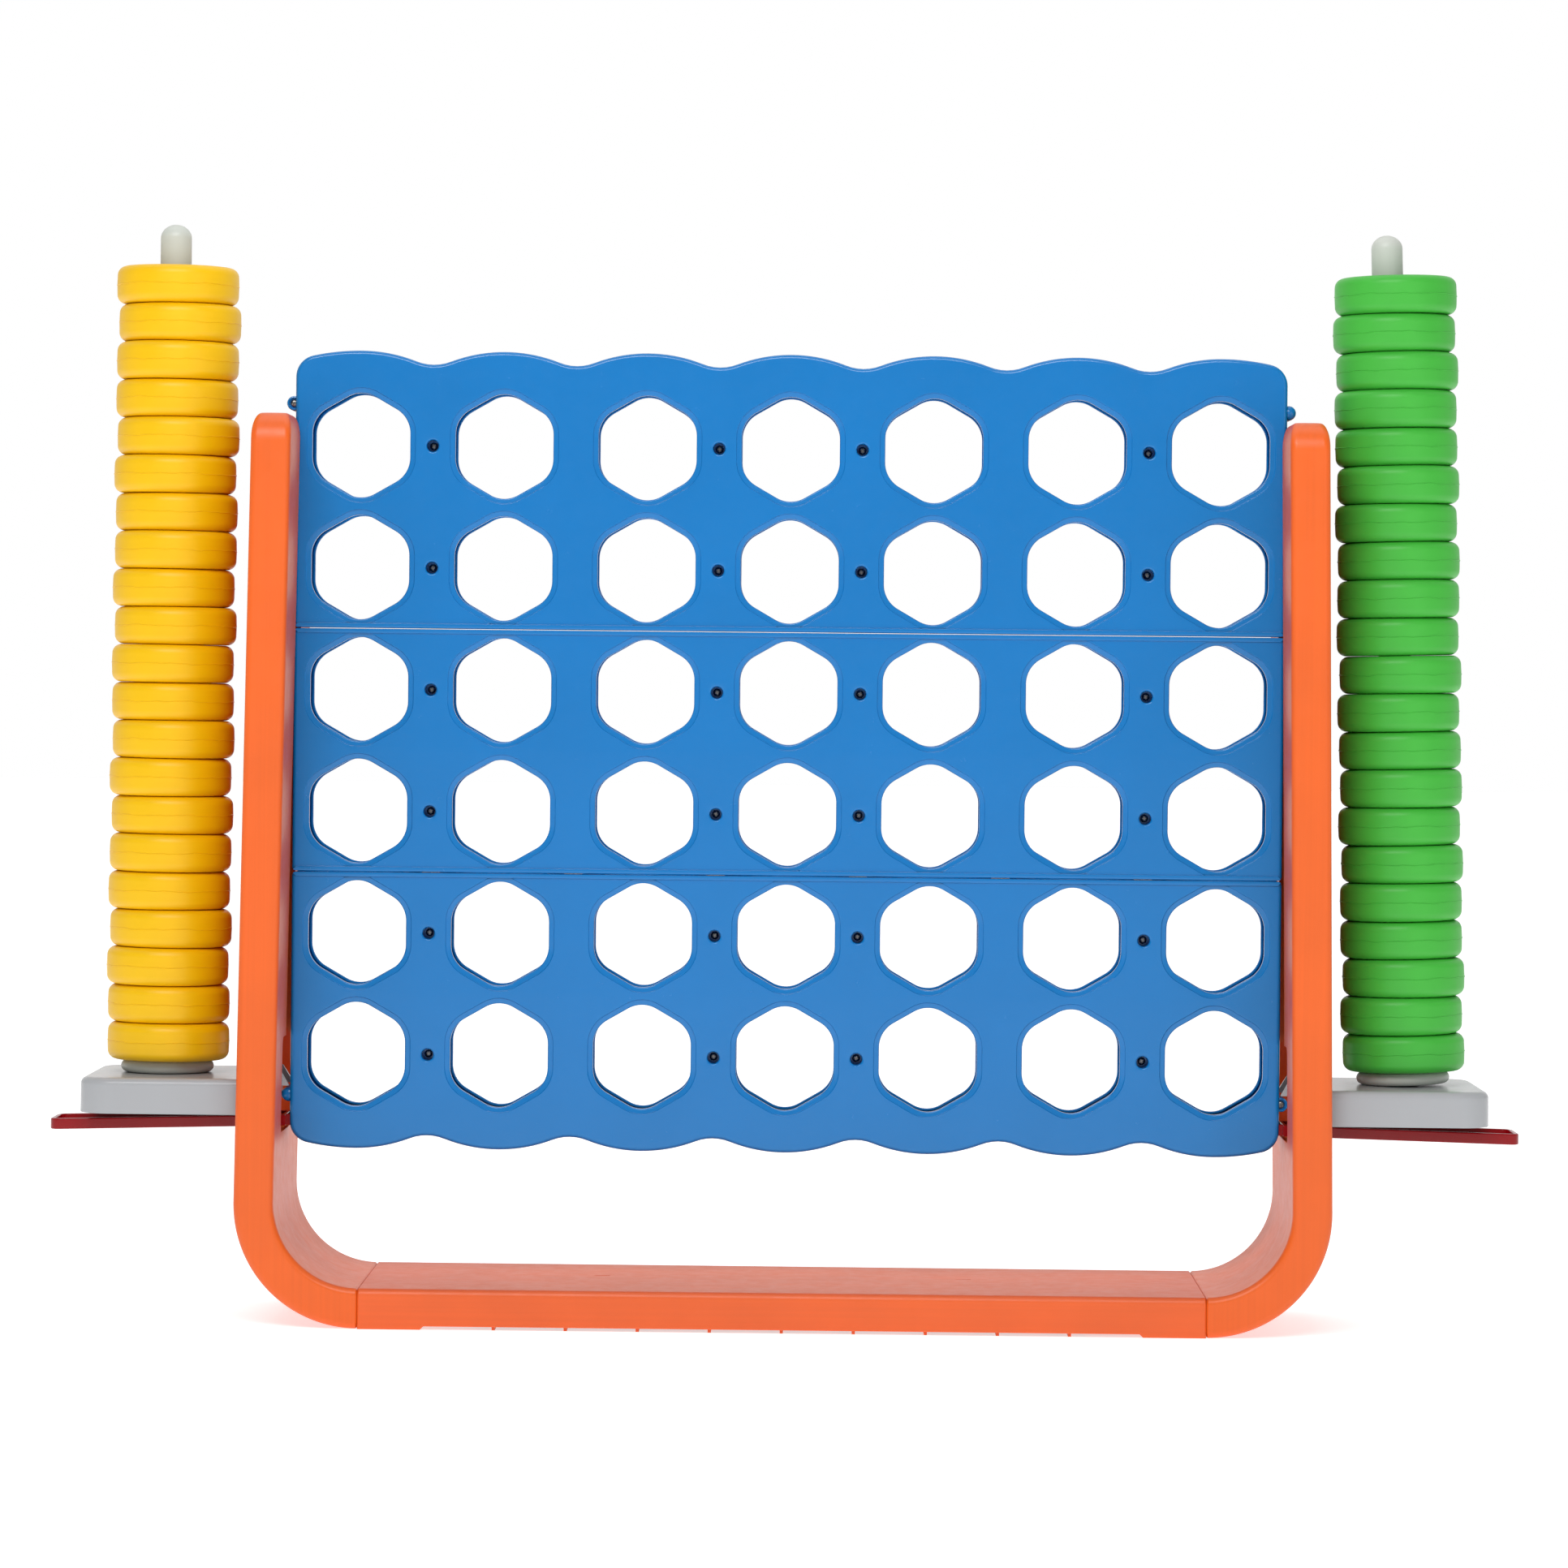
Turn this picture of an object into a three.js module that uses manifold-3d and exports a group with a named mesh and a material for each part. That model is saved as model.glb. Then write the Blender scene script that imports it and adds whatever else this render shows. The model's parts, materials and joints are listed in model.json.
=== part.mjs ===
// Giant four in a row: a drop-in game board on a U-shaped stand, with two trays of
// stacked playing rings and two quick-release sliders.
// Millimetres, +Z up, +X along the board, +Y to the back. The origin is the centre of
// the stand's footprint on the floor.
import * as THREE from "three";
import { mergeVertices } from "three/addons/utils/BufferGeometryUtils.js";
import Module from "manifold-3d";

const wasm = await Module();
wasm.setup();

// ---- driving dimensions ----------------------------------------------------------

const GAP = 0.3;                      // clearance between touching pieces
const OVERCUT = 1;                    // how far a cutter runs past the face it cuts
const GROOVE_OVERCUT = 5;             // clears the leaning inner face
const BEND_OVERCUT = 12;              // clears the outer skin between facets

// board
const COLUMNS = 7;
const COLUMN_PITCH = 158.1;
const ROW_PITCH = 134.7;
const BOARD_CENTRE_Z = 628;
const BOARD_HALF_WIDTH = 547;
const BOARD_HALF_HEIGHT = 440.8;      // centre to the crest of a scallop
const BOARD_HALF_DEPTH = 30;
const SHELL_WALL = 3;
const SIDE_WALL = 3.5;
const SIDE_WALL_INSET = 30;           // from a crest's level to the end of the side wall
const CREST_RADIUS = 166;             // scallop above each column
const END_CREST_RADIUS = 250;         // flatter outer half of the end scallops
const CREST_REACH = 60;               // where the crest arc meets the valley arc
const CREST_FACET_X = 38;             // facet point on a crest arc
const END_CREST_FACET_X = 32;
const CORNER_RADIUS = 24;
const WINDOW_HALF_WIDTH = 54;
const WINDOW_CORNER_RADIUS = 31;
const DIVIDER_WIDTH = 20;
const DIVIDER_WALL = 3;
const BOSS_HEIGHT = 19;
const SCREW_RECESS_DIAMETER = 13;
const SCREW_RECESS_DEPTH = 20;
const SCREW_RECESS_SIDES = 8;
const LUG_RADIUS = 8;
const LUG_SIDES = 12;
const LUG_CENTRE_X = 549;
const TOP_LUG_Z = 1010;
const LUG_HALF_DEPTH = 25;
const LEDGE_THICKNESS = 5;            // carries the sliders
const LEDGE_EDGE_Y = 22;

// stand
const STAND_HALF_DEPTH = 145;
const STAND_WALL = 4;
const BASE_THICKNESS = 44;
const JOINT_X = 461.5;
const OUTER_BEND_RADIUS = 135;
const INNER_BEND_RADIUS = 93;
const LEG_FOOT_X = 597.4;             // outer face just above the bend
const LEG_TOP_X = 584.7;              // outer face at the top
const LEG_WIDTH = 43.5;
const LEG_TOP_Z = 995.4;
const LEG_CORNER_RADIUS = 13;
const LEG_CROWN_RADIUS = 32;          // front and back corners of the leg's top
const RIB_THICKNESS = 3.5;
const BASE_RIB_PITCH = 78.3;
const BASE_RIBS = 9;
const BASE_LIP_X = 393;
const BASE_LIP_RAISE = 3.7;
const GROOVE_HALF_WIDTH = 33;         // takes the board's side edge
const GROOVE_DEPTH = 12;
const PORT_BOTTOM = 207;              // opening through the leg for tray and slider
const PORT_TOP = 312;
const PORT_HALF_WIDTH = 71.5;
const LOWER_BAY_Z = 150;              // foot of the leg's straight hollow bays
const UPPER_BAY_Z = 400;              // foot of its evenly spaced bays
const UPPER_BAYS = 6;
const PORT_FRAME = 6;                 // solid band above and below the port
const PORT_BAY_MARGIN = 3;            // hollow around the port's outer side
const CROWN_BAY_INSET = 10;           // the top bay is narrower, under the crown
const BEND_BAYS = [[-82, -56], [-54, -29], [-27, -2]];   // degrees around the bend
const BEND_SKIN = 6;                  // inner wall of the bend's bays
const BASE_RIB_LEVEL = 8;             // underside of the base's lengthwise rib
const BASE_LIP_SLOPE = 4;
const BASE_SLOT_X = 201;
const BASE_SLOT_Y = 22;
const BASE_SLOT_HALF_LENGTH = 9;
const BASE_SLOT_HALF_WIDTH = 2;

// slider
const SLIDER_BOTTOM = 212;
const SLIDER_HEIGHT = 12;
const SLIDER_WEB_THICKNESS = 4;
const SLIDER_RAIL = 4.75;
const SLIDER_HALF_WIDTH = 26.3;
const SLIDER_WINDOW_LENGTH = 136;
const SLIDER_WINDOWS = 3;
const SLIDER_INNER_END_X = 0.5;
const SLIDER_HEADROOM = 1.5;
const HANDLE_HALF_WIDTH = 36;
const HANDLE_START_X = 551;
const HANDLE_END_X = 812;
const HANDLE_DROOP = 0.0262;          // slope of the handle, 1.5 degrees
const HANDLE_CORNER_RADIUS = 12;
const FINGER_HOLE_LENGTH = 21;

// trays, posts and rings
const TRAY_BOTTOM = 229;
const TRAY_TOP = 268;
const TRAY_OUTER_X = 772;
const TRAY_HALF_DEPTH = 112;
const TRAY_CORNER_RADIUS = 34;
const TRAY_WALL = 4;
const HOOK_OUTER_Y = 28.5;
const HOOK_THICKNESS = 5;
const HOOK_SHOULDER_X = 566;          // top corner of the hook, inside the leg
const HOOK_SHOULDER_Z = 275.5;
const HOOK_NOSE_X = 560.5;            // where the hook drops in front of the board
const HOOK_TONGUE_Z = 255.8;          // underside of the tongue over the lug
const HOOK_TONGUE_TIP_Z = 257;
const HOOK_THROAT_Z = 240;
const HOOK_HEEL_X = 568;
const HOOK_ROOT_LENGTH = 40;
const HOOK_INSET = 2;
const POST_X = 686;
const POST_TIP_Z = 1207;
const POST_BASE_RADIUS = 18.5;
const POST_TIP_RADIUS = 17.2;
const FLANGE_RADIUS = 51.3;
const FLANGE_HEIGHT = 13.5;
const FLANGE_BEVEL = 7;
const FLANGE_EDGE = [0.35, 0.65];     // its upright band, as shares of the height
const TIP_FACETS = [[0.87, 0.5], [0.5, 0.13]];   // shares of the tip's radius: out, down
const SPIGOT_LENGTH = 33;             // foot of the post, inside the tray's cup
const SPIGOT_RADIUS = 16.5;
const CUP_OUTER_RADIUS = 33;
const CUP_HOLE_RADIUS = 20;
const CUP_BOTTOM = 226.5;
const CUP_FLOOR = 230;
const ROUND_SIDES = 16;               // cups, posts and rings
const RINGS_PER_TOWER = 21;
const RING_OUTER_RADIUS = 67;
const RING_HOLE_RADIUS = 32;
const RING_THICKNESS = 41.5;
const RING_PITCH = 41.8;
const RING_SCATTER = 1.6;             // how far a ring sits off the tower's axis
const RING_SCATTER_TURN = 2.4;        // radians between one ring's offset and the next
const TOWERS = {
  left: { side: -1, stackLean: 0.44, postLean: 0.15 },
  right: { side: 1, stackLean: 1.3, postLean: 1.8 },
};

// ---- materials -------------------------------------------------------------------

const plastic = (color, roughness) => new THREE.MeshStandardMaterial({ color, roughness, metalness: 0 });
const BOARD_BLUE = plastic(0x3b84c8, 0.35);
const STAND_ORANGE = plastic(0xf06a32, 0.45);
const SLIDER_RED = plastic(0xb81423, 0.25);
const TRAY_GREY = plastic(0xb9bbbc, 0.2);
const POST_GREY = plastic(0xcdd0c8, 0.35);
const RING_YELLOW = plastic(0xf5cd14, 0.4);
const RING_GREEN = plastic(0x4bb441, 0.4);

const group = new THREE.Group();

// ---- solids ----------------------------------------------------------------------

function toSolid(geometry) {
  const bare = geometry.index ? geometry.toNonIndexed() : geometry.clone();
  bare.deleteAttribute("normal");
  bare.deleteAttribute("uv");
  const merged = mergeVertices(bare, 1e-3);
  return new wasm.Manifold(new wasm.Mesh({
    numProp: 3,
    vertProperties: new Float32Array(merged.attributes.position.array),
    triVerts: new Uint32Array(merged.index.array),
  }));
}

function toGeometry(solid) {
  const mesh = solid.getMesh();
  const geometry = new THREE.BufferGeometry();
  geometry.setAttribute("position", new THREE.BufferAttribute(new Float32Array(mesh.vertProperties), 3));
  geometry.setIndex(new THREE.BufferAttribute(new Uint32Array(mesh.triVerts), 1));
  geometry.computeVertexNormals();
  return geometry;
}

function box(x0, x1, y0, y1, z0, z1) {
  const geometry = new THREE.BoxGeometry(x1 - x0, y1 - y0, z1 - z0);
  geometry.translate((x0 + x1) / 2, (y0 + y1) / 2, (z0 + z1) / 2);
  return toSolid(geometry);
}

// Extrudes an outline of [x, z] points from y0 to y1.
function extrudeAlongY(outline, y0, y1) {
  const shape = new THREE.Shape(outline.map(([x, z]) => new THREE.Vector2(x, z)));
  const geometry = new THREE.ExtrudeGeometry(shape, { depth: y1 - y0, bevelEnabled: false });
  geometry.rotateX(Math.PI / 2);
  geometry.translate(0, y1, 0);
  return toSolid(geometry);
}

// Extrudes an outline of [y, z] points from x0 to x1.
function extrudeAlongX(outline, x0, x1) {
  const shape = new THREE.Shape(outline.map(([y, z]) => new THREE.Vector2(y, z)));
  const geometry = new THREE.ExtrudeGeometry(shape, { depth: x1 - x0, bevelEnabled: false });
  geometry.rotateX(Math.PI / 2);
  geometry.rotateZ(Math.PI / 2);
  geometry.translate(x0, 0, 0);
  return toSolid(geometry);
}

// Extrudes an outline of [x, y] points from z0 to z1.
function extrudeAlongZ(outline, z0, z1) {
  const shape = new THREE.Shape(outline.map(([x, y]) => new THREE.Vector2(x, y)));
  const geometry = new THREE.ExtrudeGeometry(shape, { depth: z1 - z0, bevelEnabled: false });
  geometry.translate(0, 0, z0);
  return toSolid(geometry);
}

// Cylinder along Z.
function drum(x, radius, z0, z1, sides) {
  const geometry = new THREE.CylinderGeometry(radius, radius, z1 - z0, sides);
  geometry.rotateX(Math.PI / 2);
  geometry.translate(x, 0, (z0 + z1) / 2);
  return toSolid(geometry);
}

// Cylinder along Y.
function peg(x, z, radius, y0, y1, sides) {
  const geometry = new THREE.CylinderGeometry(radius, radius, y1 - y0, sides);
  geometry.translate(x, (y0 + y1) / 2, z);
  return toSolid(geometry);
}

const subtractAll = (solid, cuts) => cuts.reduce((rest, cut) => rest.subtract(cut), solid);
const addAll = (solid, pieces) => pieces.reduce((whole, piece) => whole.add(piece), solid);

function arc(cx, cy, radius, fromDegrees, toDegrees, steps) {
  const points = [];
  for (let i = 0; i <= steps; i += 1) {
    const angle = THREE.MathUtils.degToRad(fromDegrees + ((toDegrees - fromDegrees) * i) / steps);
    points.push([cx + radius * Math.cos(angle), cy + radius * Math.sin(angle)]);
  }
  return points;
}

const mirrorX = (points) => points.map(([x, y]) => [-x, y]).reverse();

function addPart(name, solid, material, parent = group) {
  const mesh = new THREE.Mesh(toGeometry(solid), material);
  mesh.name = name;
  parent.add(mesh);
  return mesh;
}

// ---- board -----------------------------------------------------------------------

const columnX = (column) => (column - (COLUMNS - 1) / 2) * COLUMN_PITCH;
const END_COLUMN_X = columnX(COLUMNS - 1);
const dividerXs = Array.from({ length: COLUMNS - 1 }, (_, i) => columnX(i) + COLUMN_PITCH / 2);
const SCREWED_DIVIDERS = [0, 2, 3, 5];

// Depth of the scalloped edge below its crest, at a distance from the column's centre.
function scallopDepth(distance) {
  const half = COLUMN_PITCH / 2;
  const slope = Math.asin(CREST_REACH / CREST_RADIUS);
  const valleyRadius = (half - CREST_REACH) / Math.sin(slope);
  if (distance <= CREST_REACH) return CREST_RADIUS - Math.sqrt(CREST_RADIUS ** 2 - distance ** 2);
  const reachDepth = CREST_RADIUS * (1 - Math.cos(slope));
  const fromValley = half - distance;
  const valleyDepth = reachDepth + valleyRadius * (1 - Math.cos(slope));
  return valleyDepth - (valleyRadius - Math.sqrt(valleyRadius ** 2 - fromValley ** 2));
}

// The scalloped edge from the left corner to the right one, as [x, height] above the
// board's centre.
function scallopedEdge() {
  const crest = BOARD_HALF_HEIGHT;
  const cornerX = BOARD_HALF_WIDTH - CORNER_RADIUS;
  const centreDrop = END_CREST_RADIUS - CORNER_RADIUS;
  const offset = cornerX - END_COLUMN_X;
  const cornerZ = crest - END_CREST_RADIUS + Math.sqrt(centreDrop ** 2 - offset ** 2);
  const endAngle = THREE.MathUtils.radToDeg(Math.acos(offset / centreDrop));
  const rightCorner = arc(cornerX, cornerZ, CORNER_RADIUS, endAngle, 0, 3);
  const points = [];
  for (let column = 0; column < COLUMNS; column += 1) {
    const before = column > 0 ? [-CREST_REACH, -CREST_FACET_X] : [];
    const after = column < COLUMNS - 1 ? [CREST_FACET_X, CREST_REACH, COLUMN_PITCH / 2] : [];
    for (const d of [...before, 0, ...after]) {
      points.push([columnX(column) + d, crest - scallopDepth(Math.abs(d))]);
    }
  }
  const endX = END_COLUMN_X + END_CREST_FACET_X;
  const endZ = crest - END_CREST_RADIUS + Math.sqrt(END_CREST_RADIUS ** 2 - END_CREST_FACET_X ** 2);
  return [...mirrorX(rightCorner), [-endX, endZ], ...points, [endX, endZ], ...rightCorner];
}

// Outline of one two-row panel: row is 1 for the top panel, 0 middle, -1 bottom.
function panelOutline(row) {
  const half = ROW_PITCH - GAP / 2;
  const level = BOARD_CENTRE_Z + row * 2 * ROW_PITCH;
  if (row === 0) {
    const w = BOARD_HALF_WIDTH;
    return [[-w, level - half], [w, level - half], [w, level + half], [-w, level + half]];
  }
  const seam = BOARD_CENTRE_Z + row * (ROW_PITCH + GAP / 2);
  const edge = scallopedEdge().map(([x, h]) => [x, BOARD_CENTRE_Z + row * h]);
  const outline = [[-BOARD_HALF_WIDTH, seam], ...edge, [BOARD_HALF_WIDTH, seam]];
  return row > 0 ? outline.reverse() : outline;
}

// Rounded hexagon standing on a corner, two points to each corner.
function windowOutline(cx, cz) {
  const apothem = WINDOW_HALF_WIDTH;
  const inset = (apothem - WINDOW_CORNER_RADIUS) / Math.cos(Math.PI / 6);
  const points = [];
  for (let corner = 0; corner < 6; corner += 1) {
    const direction = 30 + 60 * corner;
    const angle = THREE.MathUtils.degToRad(direction);
    const ax = cx + inset * Math.cos(angle);
    const az = cz + inset * Math.sin(angle);
    points.push(...arc(ax, az, WINDOW_CORNER_RADIUS, direction - 30, direction + 30, 1));
  }
  return points;
}

// One divider: a channel closed by the face plate, with solid bosses at its screws.
function divider(x, z0, z1, bossLevels) {
  const half = DIVIDER_WIDTH / 2;
  const front = -BOARD_HALF_DEPTH + SHELL_WALL / 2;
  const back = -GAP / 2;
  const body = box(x - half, x + half, front, back, z0, z1);
  const stops = [z0 + DIVIDER_WALL];
  bossLevels.forEach((z) => stops.push(z - BOSS_HEIGHT / 2, z + BOSS_HEIGHT / 2));
  stops.push(z1 - DIVIDER_WALL);
  const cuts = [];
  const inner = half - DIVIDER_WALL;
  for (let i = 0; i < stops.length; i += 2) {
    cuts.push(box(x - inner, x + inner, -BOARD_HALF_DEPTH + SHELL_WALL, OVERCUT, stops[i], stops[i + 1]));
  }
  return subtractAll(body, cuts);
}

// The front shell of a panel; the back shell is the same moulding turned about Z.
function panelShell(row) {
  const panelCentre = BOARD_CENTRE_Z + row * 2 * ROW_PITCH;
  const rows = [panelCentre - ROW_PITCH / 2, panelCentre + ROW_PITCH / 2];
  const slotTop = SLIDER_BOTTOM + SLIDER_HEIGHT + SLIDER_HEADROOM;
  const low = row < 0 ? slotTop + GAP : panelCentre - ROW_PITCH + GAP;
  const valleyZ = BOARD_CENTRE_Z + BOARD_HALF_HEIGHT - scallopDepth(COLUMN_PITCH / 2);
  const high = row > 0 ? valleyZ - GAP : panelCentre + ROW_PITCH - GAP;
  const sideReach = BOARD_HALF_HEIGHT - SIDE_WALL_INSET;
  const sideLow = row < 0 ? BOARD_CENTRE_Z - sideReach : low;
  const sideHigh = row > 0 ? BOARD_CENTRE_Z + sideReach : high;
  let shell = extrudeAlongY(panelOutline(row), -BOARD_HALF_DEPTH, -BOARD_HALF_DEPTH + SHELL_WALL);
  for (const side of [-1, 1]) {
    const outer = side * BOARD_HALF_WIDTH;
    const inner = side * (BOARD_HALF_WIDTH - SIDE_WALL);
    const [x0, x1] = side < 0 ? [outer, inner] : [inner, outer];
    shell = shell.add(box(x0, x1, -BOARD_HALF_DEPTH + SHELL_WALL / 2, -GAP / 2, sideLow, sideHigh));
  }
  dividerXs.forEach((x, i) => {
    const bosses = SCREWED_DIVIDERS.includes(i) ? rows : [];
    shell = shell.add(divider(x, low, high, bosses));
  });
  if (row !== 0) {
    const lugZ = row > 0 ? TOP_LUG_Z : 2 * BOARD_CENTRE_Z - TOP_LUG_Z;
    const insideX = BOARD_HALF_WIDTH - SIDE_WALL;
    const above = LUG_RADIUS + OVERCUT;
    const inside = box(-insideX, insideX, -LUG_HALF_DEPTH - OVERCUT, OVERCUT, lugZ - above, lugZ + above);
    for (const side of [-1, 1]) {
      const lug = peg(side * LUG_CENTRE_X, lugZ, LUG_RADIUS, -LUG_HALF_DEPTH, -GAP / 2, LUG_SIDES);
      shell = shell.add(lug.subtract(inside));
    }
  }
  const cuts = [];
  const front = -BOARD_HALF_DEPTH - OVERCUT;
  for (let column = 0; column < COLUMNS; column += 1) {
    for (const z of rows) {
      const outline = windowOutline(columnX(column), z);
      cuts.push(extrudeAlongY(outline, front, -BOARD_HALF_DEPTH + SHELL_WALL + OVERCUT));
    }
  }
  for (const i of SCREWED_DIVIDERS) {
    for (const z of rows) {
      const end = -BOARD_HALF_DEPTH + SCREW_RECESS_DEPTH;
      cuts.push(peg(dividerXs[i], z, SCREW_RECESS_DIAMETER / 2, front, end, SCREW_RECESS_SIDES));
    }
  }
  if (row < 0) {
    const ledgeTop = SLIDER_BOTTOM - GAP;
    const reach = BOARD_HALF_WIDTH - SIDE_WALL / 2;
    const rooted = -BOARD_HALF_DEPTH + SHELL_WALL / 2;
    shell = shell.add(box(-reach, reach, rooted, -LEDGE_EDGE_Y, ledgeTop - LEDGE_THICKNESS, ledgeTop));
    const slotX = BOARD_HALF_WIDTH + OVERCUT;
    cuts.push(box(-slotX, slotX, -SLIDER_HALF_WIDTH - GAP, OVERCUT, ledgeTop, slotTop));
  }
  return subtractAll(shell, cuts);
}

function buildBoard() {
  const names = { 1: "top_panel", 0: "middle_panel", "-1": "bottom_panel" };
  for (const row of [1, 0, -1]) {
    const front = panelShell(row);
    addPart(`${names[row]}_front`, front, BOARD_BLUE);
    addPart(`${names[row]}_back`, front.rotate([0, 0, 180]), BOARD_BLUE);
  }
}

// ---- stand -----------------------------------------------------------------------

const LEG_LEAN = (LEG_FOOT_X - LEG_TOP_X) / (LEG_TOP_Z - OUTER_BEND_RADIUS);
const legOuterX = (z) => LEG_FOOT_X - LEG_LEAN * (z - OUTER_BEND_RADIUS);
const legInnerX = (z) => legOuterX(z) - LEG_WIDTH;

function legOutline() {
  const r = LEG_CORNER_RADIUS;
  const top = LEG_TOP_Z;
  const bendX = LEG_FOOT_X - OUTER_BEND_RADIUS;
  const innerCentreZ = BASE_THICKNESS + INNER_BEND_RADIUS;
  const innerCentreX = legInnerX(innerCentreZ) - INNER_BEND_RADIUS;
  return [
    [JOINT_X + GAP / 2, 0],
    ...arc(bendX, OUTER_BEND_RADIUS, OUTER_BEND_RADIUS, -84, 0, 9),
    ...arc(legOuterX(top - r) - r, top - r, r, 0, 90, 3),
    ...arc(legInnerX(top - r) + r, top - r, r, 90, 180, 3),
    ...arc(innerCentreX, innerCentreZ, INNER_BEND_RADIUS, 0, -84, 8),
    [JOINT_X + GAP / 2, BASE_THICKNESS],
  ];
}

// Straight ribbed bays of the leg, from just above the bend to the top.
function legBays() {
  const levels = [[LOWER_BAY_Z, PORT_BOTTOM - PORT_FRAME], [PORT_TOP + PORT_FRAME, UPPER_BAY_Z]];
  const top = LEG_TOP_Z - LEG_CORNER_RADIUS - STAND_WALL;
  const pitch = (top - UPPER_BAY_Z) / UPPER_BAYS;
  for (let i = 0; i < UPPER_BAYS; i += 1) {
    const foot = UPPER_BAY_Z + i * pitch;
    levels.push([foot + RIB_THICKNESS, foot + pitch]);
  }
  return levels;
}

// A slanted slot between two levels, following the leg's lean, measured inwards from
// the inner face (depth 0) towards the outside.
function legSlot(z0, z1, depth0, depth1, y0, y1) {
  return extrudeAlongY([
    [legInnerX(z0) + depth0, z0],
    [legInnerX(z0) + depth1, z0],
    [legInnerX(z1) + depth1, z1],
    [legInnerX(z1) + depth0, z1],
  ], y0, y1);
}

function legSolid() {
  const crown = LEG_CROWN_RADIUS;
  const profile = [
    [-STAND_HALF_DEPTH, 0],
    [STAND_HALF_DEPTH, 0],
    ...arc(STAND_HALF_DEPTH - crown, LEG_TOP_Z - crown, crown, 0, 90, 4),
    ...arc(-STAND_HALF_DEPTH + crown, LEG_TOP_Z - crown, crown, 90, 180, 4),
  ];
  const blank = extrudeAlongY(legOutline(), -STAND_HALF_DEPTH, STAND_HALF_DEPTH)
    .intersect(extrudeAlongX(profile, JOINT_X - OVERCUT, LEG_FOOT_X + OVERCUT));
  const sideY = STAND_HALF_DEPTH - STAND_WALL;
  const grooveY = GROOVE_HALF_WIDTH + STAND_WALL;
  const out = LEG_WIDTH + 2 * OVERCUT;
  const through = -GROOVE_OVERCUT;
  const cuts = [];
  for (const [z0, z1] of legBays()) {
    const near = z0 > PORT_TOP;
    const midY = near ? grooveY : RIB_THICKNESS / 2;
    const reach = z1 > LEG_TOP_Z - crown - STAND_WALL ? sideY - CROWN_BAY_INSET : sideY;
    cuts.push(legSlot(z0, z1, STAND_WALL, out, midY, reach));
    cuts.push(legSlot(z0, z1, STAND_WALL, out, -reach, -midY));
    if (near) {
      cuts.push(legSlot(z0, z1, GROOVE_DEPTH + STAND_WALL, out, -GROOVE_HALF_WIDTH, GROOVE_HALF_WIDTH));
    }
  }
  const portLow = PORT_BOTTOM - PORT_BAY_MARGIN;
  const portHigh = PORT_TOP + PORT_BAY_MARGIN;
  const grooveLow = PORT_TOP - OVERCUT;
  const grooveHigh = LEG_TOP_Z + OVERCUT;
  cuts.push(legSlot(portLow, portHigh, STAND_WALL, out, -sideY, sideY));
  cuts.push(legSlot(PORT_BOTTOM, PORT_TOP, through, out, -PORT_HALF_WIDTH, PORT_HALF_WIDTH));
  cuts.push(legSlot(grooveLow, grooveHigh, through, GROOVE_DEPTH, -GROOVE_HALF_WIDTH, GROOVE_HALF_WIDTH));
  cuts.push(...bendBays(sideY));
  return subtractAll(blank, cuts);
}

// Hollow bays of the bend, open to the outside and the floor, between radial ribs.
function bendBays(sideY) {
  const bendX = LEG_FOOT_X - OUTER_BEND_RADIUS;
  const inner = OUTER_BEND_RADIUS - LEG_WIDTH + BEND_SKIN;
  const outer = OUTER_BEND_RADIUS + BEND_OVERCUT;
  return BEND_BAYS.map(([from, to]) => {
    const outline = [
      ...arc(bendX, OUTER_BEND_RADIUS, inner, from, to, 3),
      ...arc(bendX, OUTER_BEND_RADIUS, outer, to, from, 2),
    ];
    return extrudeAlongY(outline, -sideY, sideY);
  });
}

function basePlate() {
  const sideY = STAND_HALF_DEPTH - STAND_WALL;
  const end = JOINT_X - GAP / 2;
  const lipEnd = BASE_LIP_X - BASE_LIP_SLOPE;
  const plate = extrudeAlongY([
    [-end, 0], [-BASE_LIP_X, 0], [-lipEnd, BASE_LIP_RAISE], [lipEnd, BASE_LIP_RAISE],
    [BASE_LIP_X, 0], [end, 0], [end, BASE_THICKNESS], [-end, BASE_THICKNESS],
  ], -STAND_HALF_DEPTH, STAND_HALF_DEPTH);
  const top = BASE_THICKNESS - STAND_WALL;
  const hollow = box(-end + STAND_WALL, end - STAND_WALL, -sideY, sideY, -OVERCUT, top);
  const rooted = { y: sideY + OVERCUT, z: top + OVERCUT };
  const half = RIB_THICKNESS / 2;
  const ribXs = Array.from({ length: BASE_RIBS }, (_, i) => (i - (BASE_RIBS - 1) / 2) * BASE_RIB_PITCH);
  const lipRibX = BASE_LIP_X + half;
  const ribs = [-lipRibX, ...ribXs, lipRibX]
    .map((x) => box(x - half, x + half, -rooted.y, rooted.y, 0, rooted.z));
  ribs.push(box(-end + OVERCUT, end - OVERCUT, -half, half, BASE_RIB_LEVEL, rooted.z));
  const slots = [-BASE_SLOT_X, BASE_SLOT_X].map((x) => box(
    x - BASE_SLOT_HALF_LENGTH, x + BASE_SLOT_HALF_LENGTH,
    BASE_SLOT_Y - BASE_SLOT_HALF_WIDTH, BASE_SLOT_Y + BASE_SLOT_HALF_WIDTH,
    top - OVERCUT, BASE_THICKNESS + OVERCUT,
  ));
  return subtractAll(addAll(plate.subtract(hollow), ribs), slots);
}

function buildStand() {
  addPart("base_plate", basePlate(), STAND_ORANGE);
  const leg = legSolid();
  addPart("right_leg", leg, STAND_ORANGE);
  addPart("left_leg", leg.rotate([0, 0, 180]), STAND_ORANGE);
}

// ---- sliders ---------------------------------------------------------------------

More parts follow.
